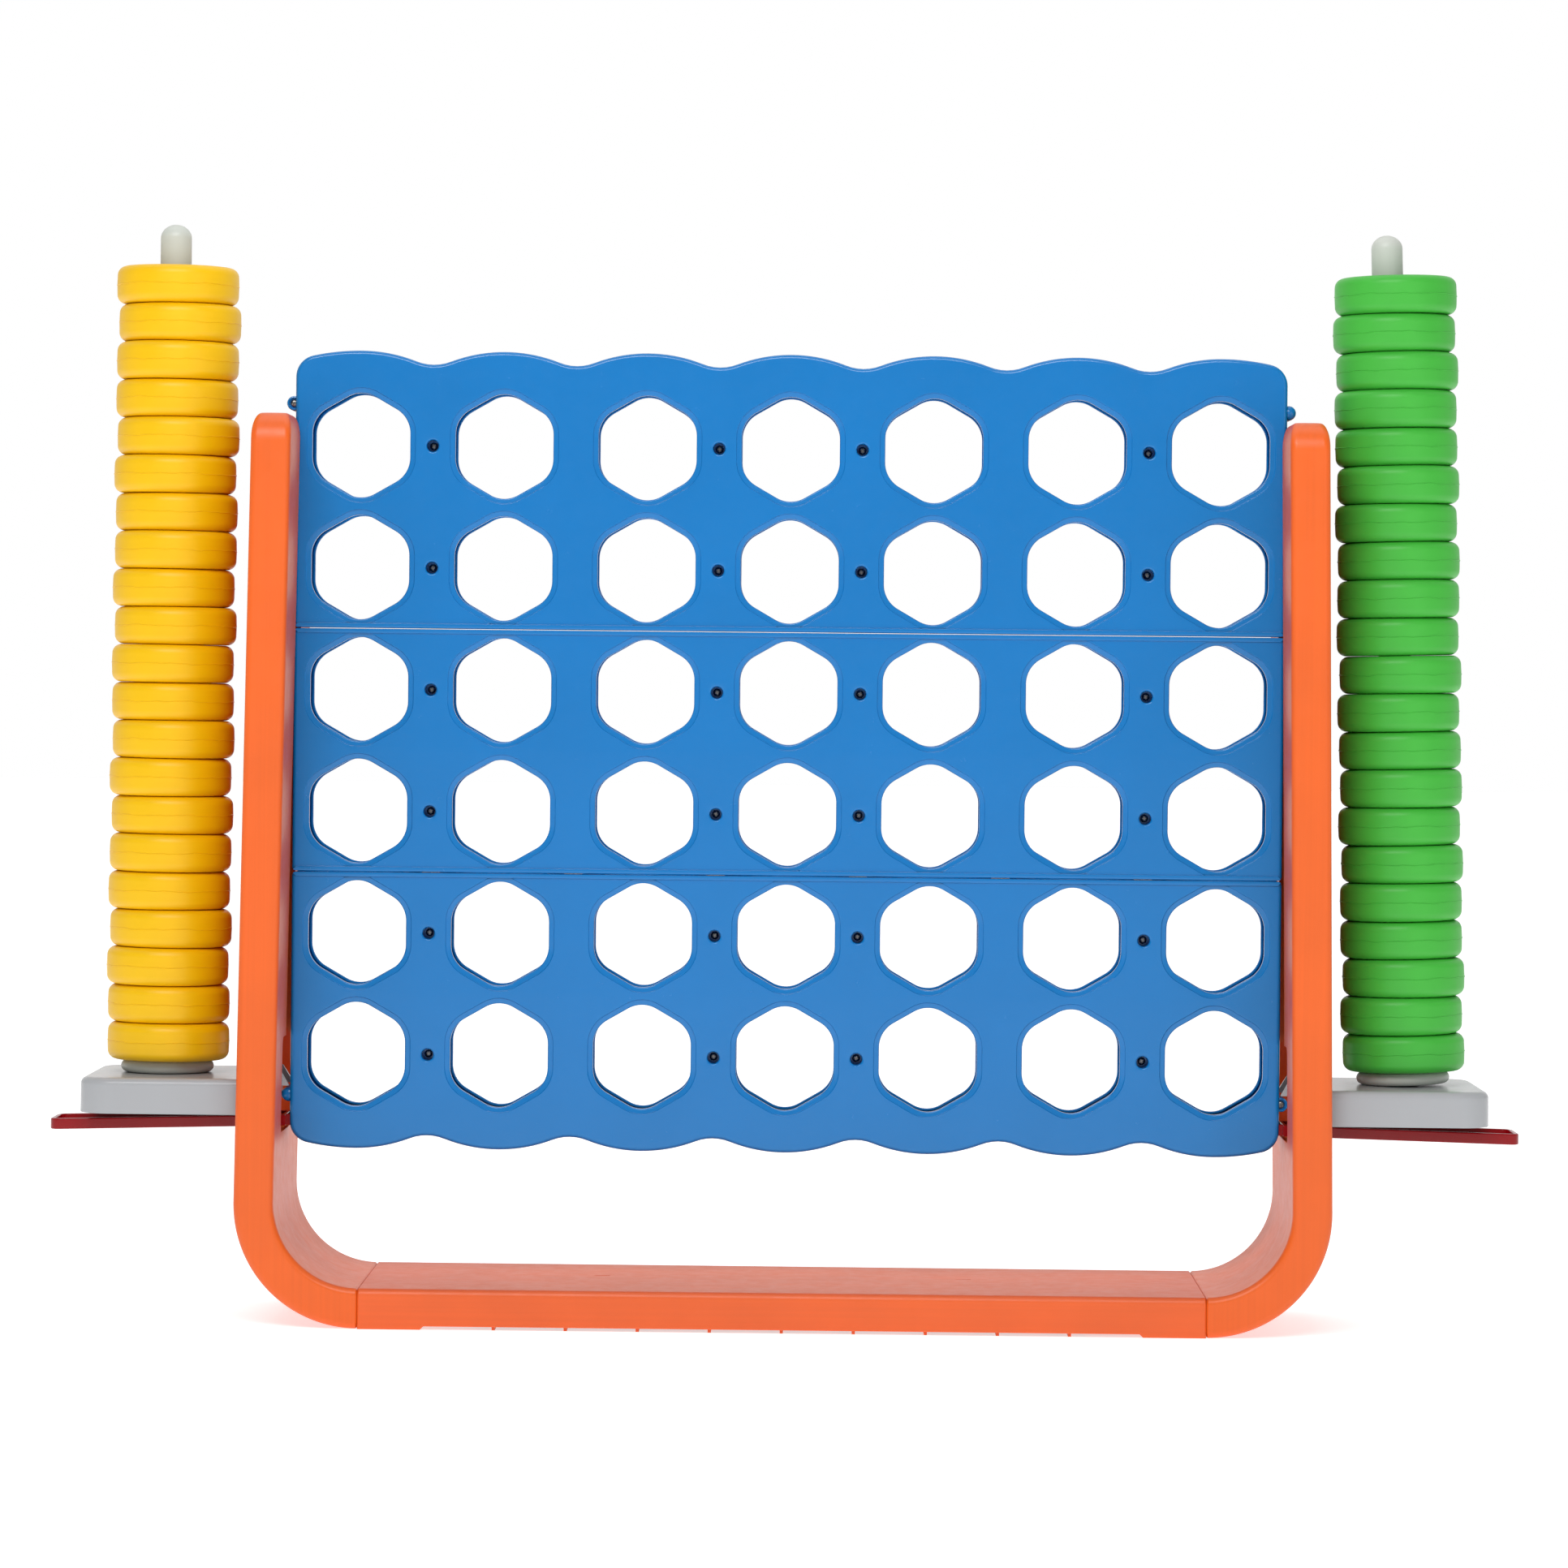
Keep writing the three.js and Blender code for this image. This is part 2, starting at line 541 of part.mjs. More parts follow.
// The right slider: a railed bar with three drop windows inside the board, then the
// wider handle with a finger hole at its outer end.
function sliderBar() {
  const bottom = SLIDER_BOTTOM;
  const top = bottom + SLIDER_HEIGHT;
  const railY = SLIDER_HALF_WIDTH - SLIDER_RAIL;
  const end = HANDLE_START_X + SLIDER_HEIGHT;
  const bar = box(SLIDER_INNER_END_X, end, -SLIDER_HALF_WIDTH, SLIDER_HALF_WIDTH, bottom, top);
  const cuts = [];
  for (let i = 0; i < SLIDER_WINDOWS; i += 1) {
    const centre = COLUMN_PITCH * (i + 0.5);
    const half = SLIDER_WINDOW_LENGTH / 2;
    cuts.push(box(centre - half, centre + half, -railY, railY, bottom - OVERCUT, top + OVERCUT));
  }
  return subtractAll(bar, cuts);
}

function handleOutline(inset) {
  const r = HANDLE_CORNER_RADIUS - inset;
  const x = HANDLE_END_X - HANDLE_CORNER_RADIUS;
  const y = HANDLE_HALF_WIDTH - HANDLE_CORNER_RADIUS;
  return [
    [HANDLE_START_X + inset, -HANDLE_HALF_WIDTH + inset],
    ...arc(x, -y, r, -90, 0, 3),
    ...arc(x, y, r, 0, 90, 3),
    [HANDLE_START_X + inset, HANDLE_HALF_WIDTH - inset],
  ];
}

// The handle droops, so its levels are slanted bands cut out of an upright outline.
function sliderHandle() {
  const droop = HANDLE_DROOP * (HANDLE_END_X - HANDLE_START_X);
  const low = SLIDER_BOTTOM - droop - OVERCUT;
  const high = SLIDER_BOTTOM + SLIDER_HEIGHT + 2 * OVERCUT;
  const band = (z0, z1) => extrudeAlongY([
    [HANDLE_START_X, z0], [HANDLE_END_X, z0 - droop], [HANDLE_END_X, z1 - droop], [HANDLE_START_X, z1],
  ], -HANDLE_HALF_WIDTH - OVERCUT, HANDLE_HALF_WIDTH + OVERCUT);
  const inside = extrudeAlongZ(handleOutline(SLIDER_RAIL), low, high);
  const trough = inside.intersect(band(SLIDER_BOTTOM + SLIDER_WEB_THICKNESS, high));
  const holeEnd = HANDLE_END_X - SLIDER_RAIL;
  const holeStart = holeEnd - FINGER_HOLE_LENGTH;
  const hole = inside
    .intersect(box(holeStart, holeEnd + OVERCUT, -HANDLE_HALF_WIDTH, HANDLE_HALF_WIDTH, low, high));
  return extrudeAlongZ(handleOutline(0), low, high)
    .intersect(band(SLIDER_BOTTOM, SLIDER_BOTTOM + SLIDER_HEIGHT))
    .subtract(trough)
    .subtract(hole);
}

function sliderSolid() {
  const railY = SLIDER_HALF_WIDTH - SLIDER_RAIL;
  const webTop = SLIDER_BOTTOM + SLIDER_WEB_THICKNESS;
  const top = SLIDER_BOTTOM + SLIDER_HEIGHT + OVERCUT;
  const channelEnd = HANDLE_START_X + 2 * SLIDER_HEIGHT;
  const channel = box(SLIDER_INNER_END_X - OVERCUT, channelEnd, -railY, railY, webTop, top);
  return sliderBar().add(sliderHandle()).subtract(channel);
}

function buildSliders() {
  const slider = sliderSolid();
  addPart("right_slider", slider, SLIDER_RED);
  addPart("left_slider", slider.rotate([0, 0, 180]), SLIDER_RED);
}

// ---- trays, posts and rings ------------------------------------------------------

function trayOutline(inset) {
  const r = TRAY_CORNER_RADIUS - inset;
  const x = TRAY_OUTER_X - TRAY_CORNER_RADIUS;
  const y = TRAY_HALF_DEPTH - TRAY_CORNER_RADIUS;
  const start = legOuterX(TRAY_BOTTOM) + GAP + inset;
  return [
    [start, -TRAY_HALF_DEPTH + inset],
    ...arc(x, -y, r, -90, 0, 5),
    ...arc(x, y, r, 0, 90, 5),
    [start, TRAY_HALF_DEPTH - inset],
  ];
}

// One hook plate, which reaches through the leg and rests over the board's side lug.
function hookPlate(y0, y1) {
  const outerX = legOuterX(TRAY_BOTTOM);
  const tipX = LUG_CENTRE_X;
  return extrudeAlongY([
    [HOOK_HEEL_X, TRAY_BOTTOM + HOOK_INSET],
    [HOOK_NOSE_X, HOOK_THROAT_Z],
    [HOOK_NOSE_X, HOOK_TONGUE_Z],
    [tipX, HOOK_TONGUE_Z],
    [tipX, HOOK_TONGUE_TIP_Z],
    [HOOK_NOSE_X, HOOK_SHOULDER_Z],
    [HOOK_SHOULDER_X, HOOK_SHOULDER_Z],
    [outerX - HOOK_INSET, TRAY_TOP - HOOK_INSET],
    [outerX + HOOK_ROOT_LENGTH, TRAY_TOP - HOOK_INSET],
    [outerX + HOOK_ROOT_LENGTH, TRAY_BOTTOM + HOOK_INSET],
  ], y0, y1);
}

function traySolid() {
  const shell = extrudeAlongZ(trayOutline(0), TRAY_BOTTOM, TRAY_TOP)
    .subtract(extrudeAlongZ(trayOutline(TRAY_WALL), TRAY_BOTTOM - OVERCUT, TRAY_TOP - TRAY_WALL));
  const hooks = [
    hookPlate(-HOOK_OUTER_Y, -HOOK_OUTER_Y + HOOK_THICKNESS),
    hookPlate(HOOK_OUTER_Y - HOOK_THICKNESS, HOOK_OUTER_Y),
  ];
  const cup = drum(POST_X, CUP_OUTER_RADIUS, CUP_BOTTOM, TRAY_TOP - TRAY_WALL / 2, ROUND_SIDES);
  const socket = drum(POST_X, CUP_HOLE_RADIUS, CUP_FLOOR, TRAY_TOP + OVERCUT, ROUND_SIDES);
  return addAll(shell, [cup, ...hooks]).subtract(socket);
}

function buildTrays() {
  const tray = traySolid();
  addPart("right_ring_tray", tray, TRAY_GREY);
  addPart("left_ring_tray", tray.rotate([0, 0, 180]), TRAY_GREY);
}

function latheSolid(profile, segments) {
  const geometry = new THREE.LatheGeometry(profile.map(([r, z]) => new THREE.Vector2(r, z)), segments);
  geometry.rotateX(Math.PI / 2);
  return toSolid(geometry);
}

// Post with its foot flange standing on z = 0, and its spigot below.
function postSolid(height) {
  const tip = POST_TIP_RADIUS;
  const profile = [
    [0, -SPIGOT_LENGTH],
    [SPIGOT_RADIUS, -SPIGOT_LENGTH],
    [SPIGOT_RADIUS, 0],
    [FLANGE_RADIUS - FLANGE_BEVEL, 0],
    ...FLANGE_EDGE.map((share) => [FLANGE_RADIUS, FLANGE_HEIGHT * share]),
    [FLANGE_RADIUS - FLANGE_BEVEL, FLANGE_HEIGHT],
    [POST_BASE_RADIUS, FLANGE_HEIGHT],
    [tip, height - tip],
    ...TIP_FACETS.map(([out, down]) => [tip * out, height - tip * down]),
    [0, height],
  ];
  return latheSolid(profile, ROUND_SIDES);
}

function ringSolid() {
  const outer = RING_OUTER_RADIUS;
  const hole = RING_HOLE_RADIUS;
  const height = RING_THICKNESS;
  return latheSolid([[hole, 0], [outer, 0], [outer, height], [hole, height], [hole, 0]], ROUND_SIDES);
}

function buildTower(name, colourName, material) {
  const { side, stackLean, postLean } = TOWERS[name];
  const tiltRise = (degrees) => FLANGE_RADIUS * Math.sin(THREE.MathUtils.degToRad(degrees));
  const footZ = TRAY_TOP + GAP + tiltRise(postLean);
  const post = new THREE.Group();
  post.position.set(side * POST_X, 0, footZ);
  post.rotation.y = THREE.MathUtils.degToRad(-side * postLean);
  addPart(`${name}_post`, postSolid(POST_TIP_Z - TRAY_TOP), POST_GREY, post);
  group.add(post);
  const stack = new THREE.Group();
  const stackZ = footZ + FLANGE_HEIGHT + GAP + tiltRise(Math.abs(postLean - stackLean));
  stack.position.set(side * POST_X, 0, stackZ);
  stack.rotation.y = THREE.MathUtils.degToRad(-side * stackLean);
  const ring = ringSolid();
  for (let i = 0; i < RINGS_PER_TOWER; i += 1) {
    const label = String(i + 1).padStart(2, "0");
    const mesh = addPart(`${colourName}_ring_${label}`, ring, material, stack);
    const angle = RING_SCATTER_TURN * i + side;
    mesh.position.set(RING_SCATTER * Math.cos(angle), RING_SCATTER * Math.sin(angle), i * RING_PITCH);
  }
  group.add(stack);
}

buildStand();
buildBoard();
buildSliders();
buildTrays();
buildTower("left", "yellow", RING_YELLOW);
buildTower("right", "green", RING_GREEN);

export default group;
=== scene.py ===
import json
import math
import bmesh
import bpy
from mathutils import Matrix, Vector, geometry


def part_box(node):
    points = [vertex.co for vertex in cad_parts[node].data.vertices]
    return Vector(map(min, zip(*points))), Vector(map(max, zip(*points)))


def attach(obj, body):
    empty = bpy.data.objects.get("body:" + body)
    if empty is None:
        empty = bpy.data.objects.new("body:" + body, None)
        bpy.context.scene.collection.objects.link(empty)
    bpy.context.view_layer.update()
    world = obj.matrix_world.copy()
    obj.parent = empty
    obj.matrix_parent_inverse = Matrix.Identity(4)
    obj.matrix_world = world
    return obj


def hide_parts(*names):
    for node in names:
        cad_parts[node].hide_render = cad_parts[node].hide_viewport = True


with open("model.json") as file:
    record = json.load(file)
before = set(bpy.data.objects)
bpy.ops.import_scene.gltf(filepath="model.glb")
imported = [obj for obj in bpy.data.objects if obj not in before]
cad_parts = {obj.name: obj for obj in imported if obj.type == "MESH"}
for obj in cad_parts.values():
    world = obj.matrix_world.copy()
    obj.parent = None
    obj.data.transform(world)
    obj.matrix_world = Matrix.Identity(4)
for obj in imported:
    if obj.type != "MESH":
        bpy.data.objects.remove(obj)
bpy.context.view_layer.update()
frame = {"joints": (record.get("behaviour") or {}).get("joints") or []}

# Giant four in a row. Metres, +Z up, +X along the board, +Y to the back.

# ---- sizes -------------------------------------------------------------------------

MM = 0.001
middle_low, middle_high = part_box("middle_panel_front")
base_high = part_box("base_plate")[1]
leg_low, leg_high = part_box("right_leg")
tray_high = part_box("right_ring_tray")[1]

# board
COLUMNS = 7
COLUMN_PITCH = 158.1 * MM
BOARD_HALF_WIDTH = middle_high[0]
FACE_Y = middle_low[1]
BOARD_CENTRE_Z = (middle_low[2] + middle_high[2]) / 2
ROW_PITCH = (middle_high[2] - middle_low[2]) / 2
BOARD_HALF_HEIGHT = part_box("top_panel_front")[1][2] - BOARD_CENTRE_Z
CREST_RADIUS = 166 * MM
END_CREST_RADIUS = 250 * MM
CREST_REACH = 60 * MM
CORNER_RADIUS = 24 * MM
SEAM_CORNER_RADIUS = 4.5 * MM
WINDOW_HALF_WIDTH = 54 * MM
WINDOW_CORNER_RADIUS = 31 * MM
SHELL_DEPTH = 29.7 * MM
SHELL_WALL = 3 * MM
ROOT_OVERLAP = 0.5 * MM                # how far a wall is sunk into the face plate
LEDGE_THICKNESS = 5 * MM
LEDGE_EDGE_Y = 22 * MM
LUG_SEAT_DEPTH = 3.2 * MM
DIVIDER_HALF_WIDTH = 10 * MM
DIVIDER_WALL = 3 * MM
SCREW_RECESS_RADIUS = 6.5 * MM
SCREW_RECESS_DEPTH = 22 * MM
BOSS_RADIUS = 9.6 * MM
LUG_X = 549 * MM
LUG_Z = 1010 * MM
LUG_RADIUS = 8 * MM
LUG_HALF_DEPTH = 25 * MM
SCREWED_DIVIDERS = (0, 2, 3, 5)
LEDGE_DROP = 12.3 * MM                 # a slider's height and 0.3 mm of clearance
ledge_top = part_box("right_slider")[1][2] - LEDGE_DROP

# stand
STAND_HALF_DEPTH = base_high[1]
BASE_TOP = base_high[2]
BASE_END_X = base_high[0]
STAND_EDGE_RADIUS = 7.5 * MM
LEG_START_X = leg_low[0]
LEG_TOP_Z = leg_high[2]
LEG_WIDTH = 43.5 * MM
LEG_FOOT_X = leg_high[0]
LEG_TOP_X = 584.7 * MM
OUTER_BEND_RADIUS = 135 * MM
INNER_BEND_RADIUS = 93 * MM
LEG_TOP_SIDE_ROUND = 9 * MM
LEG_TOP_END_ROUND = 26 * MM
LEG_CROWN_RADIUS = 32 * MM
STAND_WALL = 4 * MM
RIM_WALL = 6.5 * MM
RIB_THICKNESS = 3.5 * MM
GROOVE_HALF_WIDTH = 33 * MM
GROOVE_DEPTH = 12 * MM
PORT_BOTTOM = 207 * MM
PORT_TOP = 312 * MM
PORT_HALF_WIDTH = 71.5 * MM
LOWER_BAY_Z = 150 * MM                 # foot of the leg's straight hollow bays
UPPER_BAY_Z = 400 * MM                 # foot of its evenly spaced bays
UPPER_BAYS = 6
TOP_BAND = 17 * MM                     # solid band above the top bay
PORT_FRAME = 6 * MM
PORT_BAY_MARGIN = 3 * MM
PORT_CORNER_RADIUS = 10 * MM
CROWN_BAY_INSET = 10 * MM
BEND_SKIN = 6 * MM
BEND_OVERCUT = 12 * MM
BEND_BAYS = ((-82, -56), (-54, -29), (-27, -2))   # degrees around the bend
JOINT_BEVEL = 1.6 * MM                 # where legs and base meet
BASE_RIB_PITCH = 78.3 * MM
BASE_SIDE_RIBS = 4                     # on each side of the middle one
BASE_SLOT_X = 201 * MM
BASE_SLOT_Y = 22 * MM
BASE_SLOT_HALF_LENGTH = 7.5 * MM
BASE_SLOT_RADIUS = 1.6 * MM
BASE_LIP_X = 393 * MM
BASE_LIP_RAISE = 3.7 * MM

# sliders
SLIDER_HEIGHT = 12 * MM
SLIDER_RAIL = 4.75 * MM
SLIDER_WEB = 4 * MM
SLIDER_HALF_WIDTH = 26.3 * MM
SLIDER_WINDOWS = 3
SLIDER_WINDOW_LENGTH = 136 * MM
HANDLE_START_X = 551 * MM
HANDLE_DROOP = 0.0262                  # slope of the handle, 1.5 degrees
HANDLE_CORNER_RADIUS = 12 * MM
FINGER_HOLE_LENGTH = 20 * MM

# trays, posts and rings
POST_X = 686 * MM
TRAY_TOP = 268 * MM
TRAY_BOTTOM = 229 * MM
TRAY_CORNER_RADIUS = 34 * MM
HOOK_OUTER_Y = 28.5 * MM
HOOK_THICKNESS = 5 * MM
RINGS_PER_STACK = 21
RING_OUTER_RADIUS = 67 * MM
RING_HOLE_RADIUS = 32 * MM
RING_THICKNESS = 41.5 * MM
RING_CORNER_RADIUS = 10 * MM
POST_LEANS = {"left": 0.15, "right": 1.8}
POST_HEIGHT = 939 * MM
POST_TIP_RADIUS = 17.2 * MM
POST_TIP_HEIGHT = 15 * MM
FLANGE_RADIUS = 51.3 * MM
FLANGE_HEIGHT = 13.5 * MM
CUP_FLOOR_Z = 231 * MM


# ---- mesh helpers --------------------------------------------------------------------

def arc(cx, cy, radius, start, end, steps):
    """Points on an arc, angles in degrees."""
    points = []
    for i in range(steps + 1):
        angle = math.radians(start + (end - start) * i / steps)
        points.append((cx + radius * math.cos(angle), cy + radius * math.sin(angle)))
    return points


def strip(bm, loop_a, loop_b, closed=True):
    """Quads between two vertex loops of equal length."""
    count = len(loop_a)
    last = count if closed else count - 1
    for i in range(last):
        j = (i + 1) % count
        corners = [loop_a[i], loop_a[j], loop_b[j], loop_b[i]]
        unique = list(dict.fromkeys(corners))
        if len(unique) > 2:
            try:
                bm.faces.new(unique)
            except ValueError:
                pass


def loft(bm, rings, closed=True, cap_start=False, cap_end=False):
    """A skin over rings of coordinates, with optional flat ends."""
    loops = [[bm.verts.new(p) for p in ring] for ring in rings]
    for a, b in zip(loops, loops[1:]):
        strip(bm, a, b, closed)
    if cap_start:
        bm.faces.new(loops[0])
    if cap_end:
        bm.faces.new(loops[-1])
    return loops


def revolve(bm, profile, steps, place):
    """A turned solid. profile is (radius, height) pairs, and place puts (x, y, z) in the frame."""
    rings = []
    for radius, height in profile:
        ring = []
        for i in range(steps):
            angle = 2 * math.pi * i / steps
            ring.append(place(radius * math.cos(angle), radius * math.sin(angle), height))
        rings.append(ring)
    loops = []
    for (radius, height), ring in zip(profile, rings):
        if radius < 1e-7:
            vert = bm.verts.new(place(0, 0, height))
            loops.append([vert] * steps)
        else:
            loops.append([bm.verts.new(p) for p in ring])
    for a, b in zip(loops, loops[1:]):
        strip(bm, a, b)


def block(bm, x0, x1, y0, y1, z0, z1):
    corners = [bm.verts.new((x, y, z)) for x in (x0, x1) for y in (y0, y1) for z in (z0, z1)]
    sides = ((0, 1, 3, 2), (4, 6, 7, 5), (0, 4, 5, 1), (2, 3, 7, 6), (0, 2, 6, 4), (1, 5, 7, 3))
    for side in sides:
        bm.faces.new([corners[i] for i in side])


def prism(bm, outline, y0, y1):
    """A solid from an outline of (x, z) points between two depths."""
    loft(bm, [[(x, y0, z) for x, z in outline], [(x, y1, z) for x, z in outline]], True, True, True)


def fill_flat(bm, loops):
    """Fills the flat region inside the first vertex loop and outside the others."""
    coords = [[v.co.copy() for v in loop] for loop in loops]
    flat = [v for loop in loops for v in loop]
    for triangle in geometry.tessellate_polygon(coords):
        verts = [flat[i] for i in triangle]
        if len(set(verts)) == 3:
            try:
                bm.faces.new(verts)
            except ValueError:
                pass


def offset_outline(points, distance):
    """Moves a counter-clockwise outline inwards."""
    moved = []
    count = len(points)
    for i in range(count):
        before = Vector(points[i - 1])
        here = Vector(points[i])
        after = Vector(points[(i + 1) % count])
        first = (here - before).normalized()
        second = (after - here).normalized()
        n1 = Vector((-first.y, first.x))
        n2 = Vector((-second.y, second.x))
        scale = distance / max(0.2, 1 + n1.dot(n2))
        moved.append(tuple(here + (n1 + n2) * scale))
    return moved


def subtract(obj, cutter):
    """Cuts cutter out of obj and removes it."""
    modifier = obj.modifiers.new("cut", "BOOLEAN")
    modifier.object = cutter
    modifier.operation = "DIFFERENCE"
    modifier.solver = "EXACT"
    modifier.use_self = False
    bpy.context.view_layer.update()
    depsgraph = bpy.context.evaluated_depsgraph_get()
    mesh = bpy.data.meshes.new_from_object(obj.evaluated_get(depsgraph))
    obj.modifiers.clear()
    obj.data = mesh
    bpy.data.objects.remove(cutter, do_unlink=True)


def plain_object(name, bm):
    bmesh.ops.remove_doubles(bm, verts=bm.verts, dist=1e-6)
    bmesh.ops.recalc_face_normals(bm, faces=bm.faces)
    mesh = bpy.data.meshes.new(name)
    bm.to_mesh(mesh)
    bm.free()
    obj = bpy.data.objects.new(name, mesh)
    bpy.context.collection.objects.link(obj)
    return obj


def dress(obj, material, body, slot, *nodes, smooth_angle=35):
    """Gives a cut object its shading, material, body and the CAD nodes it stands for."""
    mesh = obj.data
    mesh.materials.clear()
    mesh.materials.append(material)
    mesh.polygons.foreach_set("use_smooth", [True] * len(mesh.polygons))
    mesh.set_sharp_from_angle(angle=math.radians(smooth_angle))
    modifier = obj.modifiers.new("even_shading", "WEIGHTED_NORMAL")
    modifier.keep_sharp = True
    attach(obj, body)
    if nodes:
        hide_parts(*nodes)
    return obj


def turned_copy(obj, name, matrix):
    """A copy of a piece's mesh, moved by a rotation."""
    mesh = obj.data.copy()
    mesh.transform(matrix)
    copy = bpy.data.objects.new(name, mesh)
    bpy.context.collection.objects.link(copy)
    return copy


HALF_TURN_Z = Matrix.Rotation(math.pi, 4, "Z")


# ---- materials -----------------------------------------------------------------------

def srgb(r, g, b):
    def channel(value):
        value /= 255
        return value / 12.92 if value <= 0.04045 else ((value + 0.055) / 1.055) ** 2.4
    return (channel(r), channel(g), channel(b), 1)


def noise(nodes, links, vector, scale, detail, roughness=0.5):
    node = nodes.new("ShaderNodeTexNoise")
    node.inputs["Scale"].default_value = scale
    node.inputs["Detail"].default_value = detail
    node.inputs["Roughness"].default_value = roughness
    links.new(vector, node.inputs["Vector"])
    return node.outputs["Fac"]


def map_range(nodes, links, value, source, target):
    """Maps the range source onto the range target, each a (least, most) pair."""
    node = nodes.new("ShaderNodeMapRange")
    node.inputs["From Min"].default_value = source[0]
    node.inputs["From Max"].default_value = source[1]
    node.inputs["To Min"].default_value = target[0]
    node.inputs["To Max"].default_value = target[1]
    links.new(value, node.inputs["Value"])
    return node.outputs["Result"]


def bump(nodes, links, height, strength, distance, normal=None):
    node = nodes.new("ShaderNodeBump")
    node.inputs["Strength"].default_value = strength
    node.inputs["Distance"].default_value = distance
    links.new(height, node.inputs["Height"])
    if normal:
        links.new(normal, node.inputs["Normal"])
    return node.outputs["Normal"]


def draw_lines(nodes, links, vector, scale, color, normal):
    """Fine lines left by the mould, in the colour and in the relief. Returns the new colour and normal."""
    mapping = nodes.new("ShaderNodeMapping")
    mapping.inputs["Scale"].default_value = scale
    links.new(vector, mapping.inputs["Vector"])
    lines = noise(nodes, links, mapping.outputs["Vector"], 1, 5)
    normal = bump(nodes, links, lines, 0.14, 0.5 * MM, normal)
    shade = map_range(nodes, links, lines, (0.3, 0.7), (0.97, 1.02))
    tint = nodes.new("ShaderNodeMix")
    tint.data_type = "RGBA"
    tint.blend_type = "MULTIPLY"
    tint.inputs["Factor"].default_value = 1
    links.new(color, tint.inputs["A"])
    links.new(shade, tint.inputs["B"])
    return tint.outputs["Result"], normal


GRAIN_SCALE = 900
GRAIN_DEPTH = 0.4 * MM
WEAR_SCALE = 60
WEAR_ROUGHENING = 1.3                  # worn patches are this many times as rough
SINK_SCALE = 22                        # broad waves where the moulding has shrunk
SINK_DEPTH = 1.2 * MM
COAT_ROUGHNESS = 0.08


def moulded_plastic(name, color, roughness, grain, tone, gloss=0.5, coat=0, mottle_scale=9, streaks=None):
    """Moulded plastic: slight tone drift, fine grain, wear that dulls the gloss, and optional draw lines."""
    material = bpy.data.materials.new(name)
    material.use_nodes = True
    nodes = material.node_tree.nodes
    links = material.node_tree.links
    shader = nodes["Principled BSDF"]
    shader.inputs["Specular IOR Level"].default_value = gloss
    shader.inputs["Coat Weight"].default_value = coat
    shader.inputs["Coat Roughness"].default_value = COAT_ROUGHNESS
    place = nodes.new("ShaderNodeTexCoord").outputs["Object"]

    ramp = nodes.new("ShaderNodeValToRGB")
    dark, light = ramp.color_ramp.elements
    dark.position = 0.3
    light.position = 0.7
    dark.color = tuple(c * (1 - tone) for c in color[:3]) + (1,)
    light.color = tuple(min(1, c * (1 + tone)) for c in color[:3]) + (1,)
    links.new(noise(nodes, links, place, mottle_scale, 4), ramp.inputs["Fac"])
    color_out = ramp.outputs["Color"]

    wear = noise(nodes, links, place, WEAR_SCALE, 8, 0.7)
    worn = map_range(nodes, links, wear, (0.35, 0.75), (roughness, min(1, roughness * WEAR_ROUGHENING)))
    links.new(worn, shader.inputs["Roughness"])

    grain_height = noise(nodes, links, place, GRAIN_SCALE, 3)
    normal_out = bump(nodes, links, grain_height, grain, GRAIN_DEPTH)
    sink_height = noise(nodes, links, place, SINK_SCALE, 2)
    normal_out = bump(nodes, links, sink_height, 0.12, SINK_DEPTH, normal_out)
    if streaks:
        color_out, normal_out = draw_lines(nodes, links, place, streaks, color_out, normal_out)
    links.new(color_out, shader.inputs["Base Color"])
    links.new(normal_out, shader.inputs["Normal"])
    return material


def steel():
    material = bpy.data.materials.new("screw_steel")
    material.use_nodes = True
    nodes = material.node_tree.nodes
    links = material.node_tree.links
    shader = nodes["Principled BSDF"]
    shader.inputs["Metallic"].default_value = 1
    place = nodes.new("ShaderNodeTexCoord").outputs["Object"]
    grain = noise(nodes, links, place, 700, 5)
    ramp = nodes.new("ShaderNodeValToRGB")
    dark, light = ramp.color_ramp.elements
    dark.color = srgb(104, 103, 102)
    light.color = srgb(160, 158, 155)
    links.new(grain, ramp.inputs["Fac"])
    links.new(ramp.outputs["Color"], shader.inputs["Base Color"])
    links.new(map_range(nodes, links, grain, (0, 1), (0.2, 0.45)), shader.inputs["Roughness"])
    return material


LEG_DRAW_LINES = (260, 120, 3)         # noise cells per metre: lines run up the legs
BASE_DRAW_LINES = (3, 160, 260)        # and lengthwise along the base

board_blue = moulded_plastic("board_plastic", srgb(6, 114, 184), 0.22, 0.04, 0.03, 0.4, coat=0.15)
leg_orange = moulded_plastic("leg_plastic", srgb(228, 95, 18), 0.36, 0.1, 0.04, streaks=LEG_DRAW_LINES)
base_orange = moulded_plastic("base_plastic", srgb(226, 92, 22), 0.4, 0.1, 0.05, 0.6, streaks=BASE_DRAW_LINES)
slider_red = moulded_plastic("slider_plastic", srgb(140, 1, 10), 0.2, 0.04, 0.05, 0.3)
tray_grey = moulded_plastic("tray_plastic", srgb(166, 168, 171), 0.2, 0.03, 0.02, 0.3)
post_grey = moulded_plastic("post_plastic", srgb(196, 200, 192), 0.35, 0.06, 0.03)
yellow = srgb(236, 186, 0)
green = srgb(66, 176, 60)
ring_yellow = moulded_plastic("yellow_ring_plastic", yellow, 0.36, 0.08, 0.04, 0.35, mottle_scale=14)
ring_green = moulded_plastic("green_ring_plastic", green, 0.38, 0.08, 0.05, 0.35, mottle_scale=14)
screw_steel = steel()


# ---- board ---------------------------------------------------------------------------

def column_x(column):
    return (column - (COLUMNS - 1) / 2) * COLUMN_PITCH


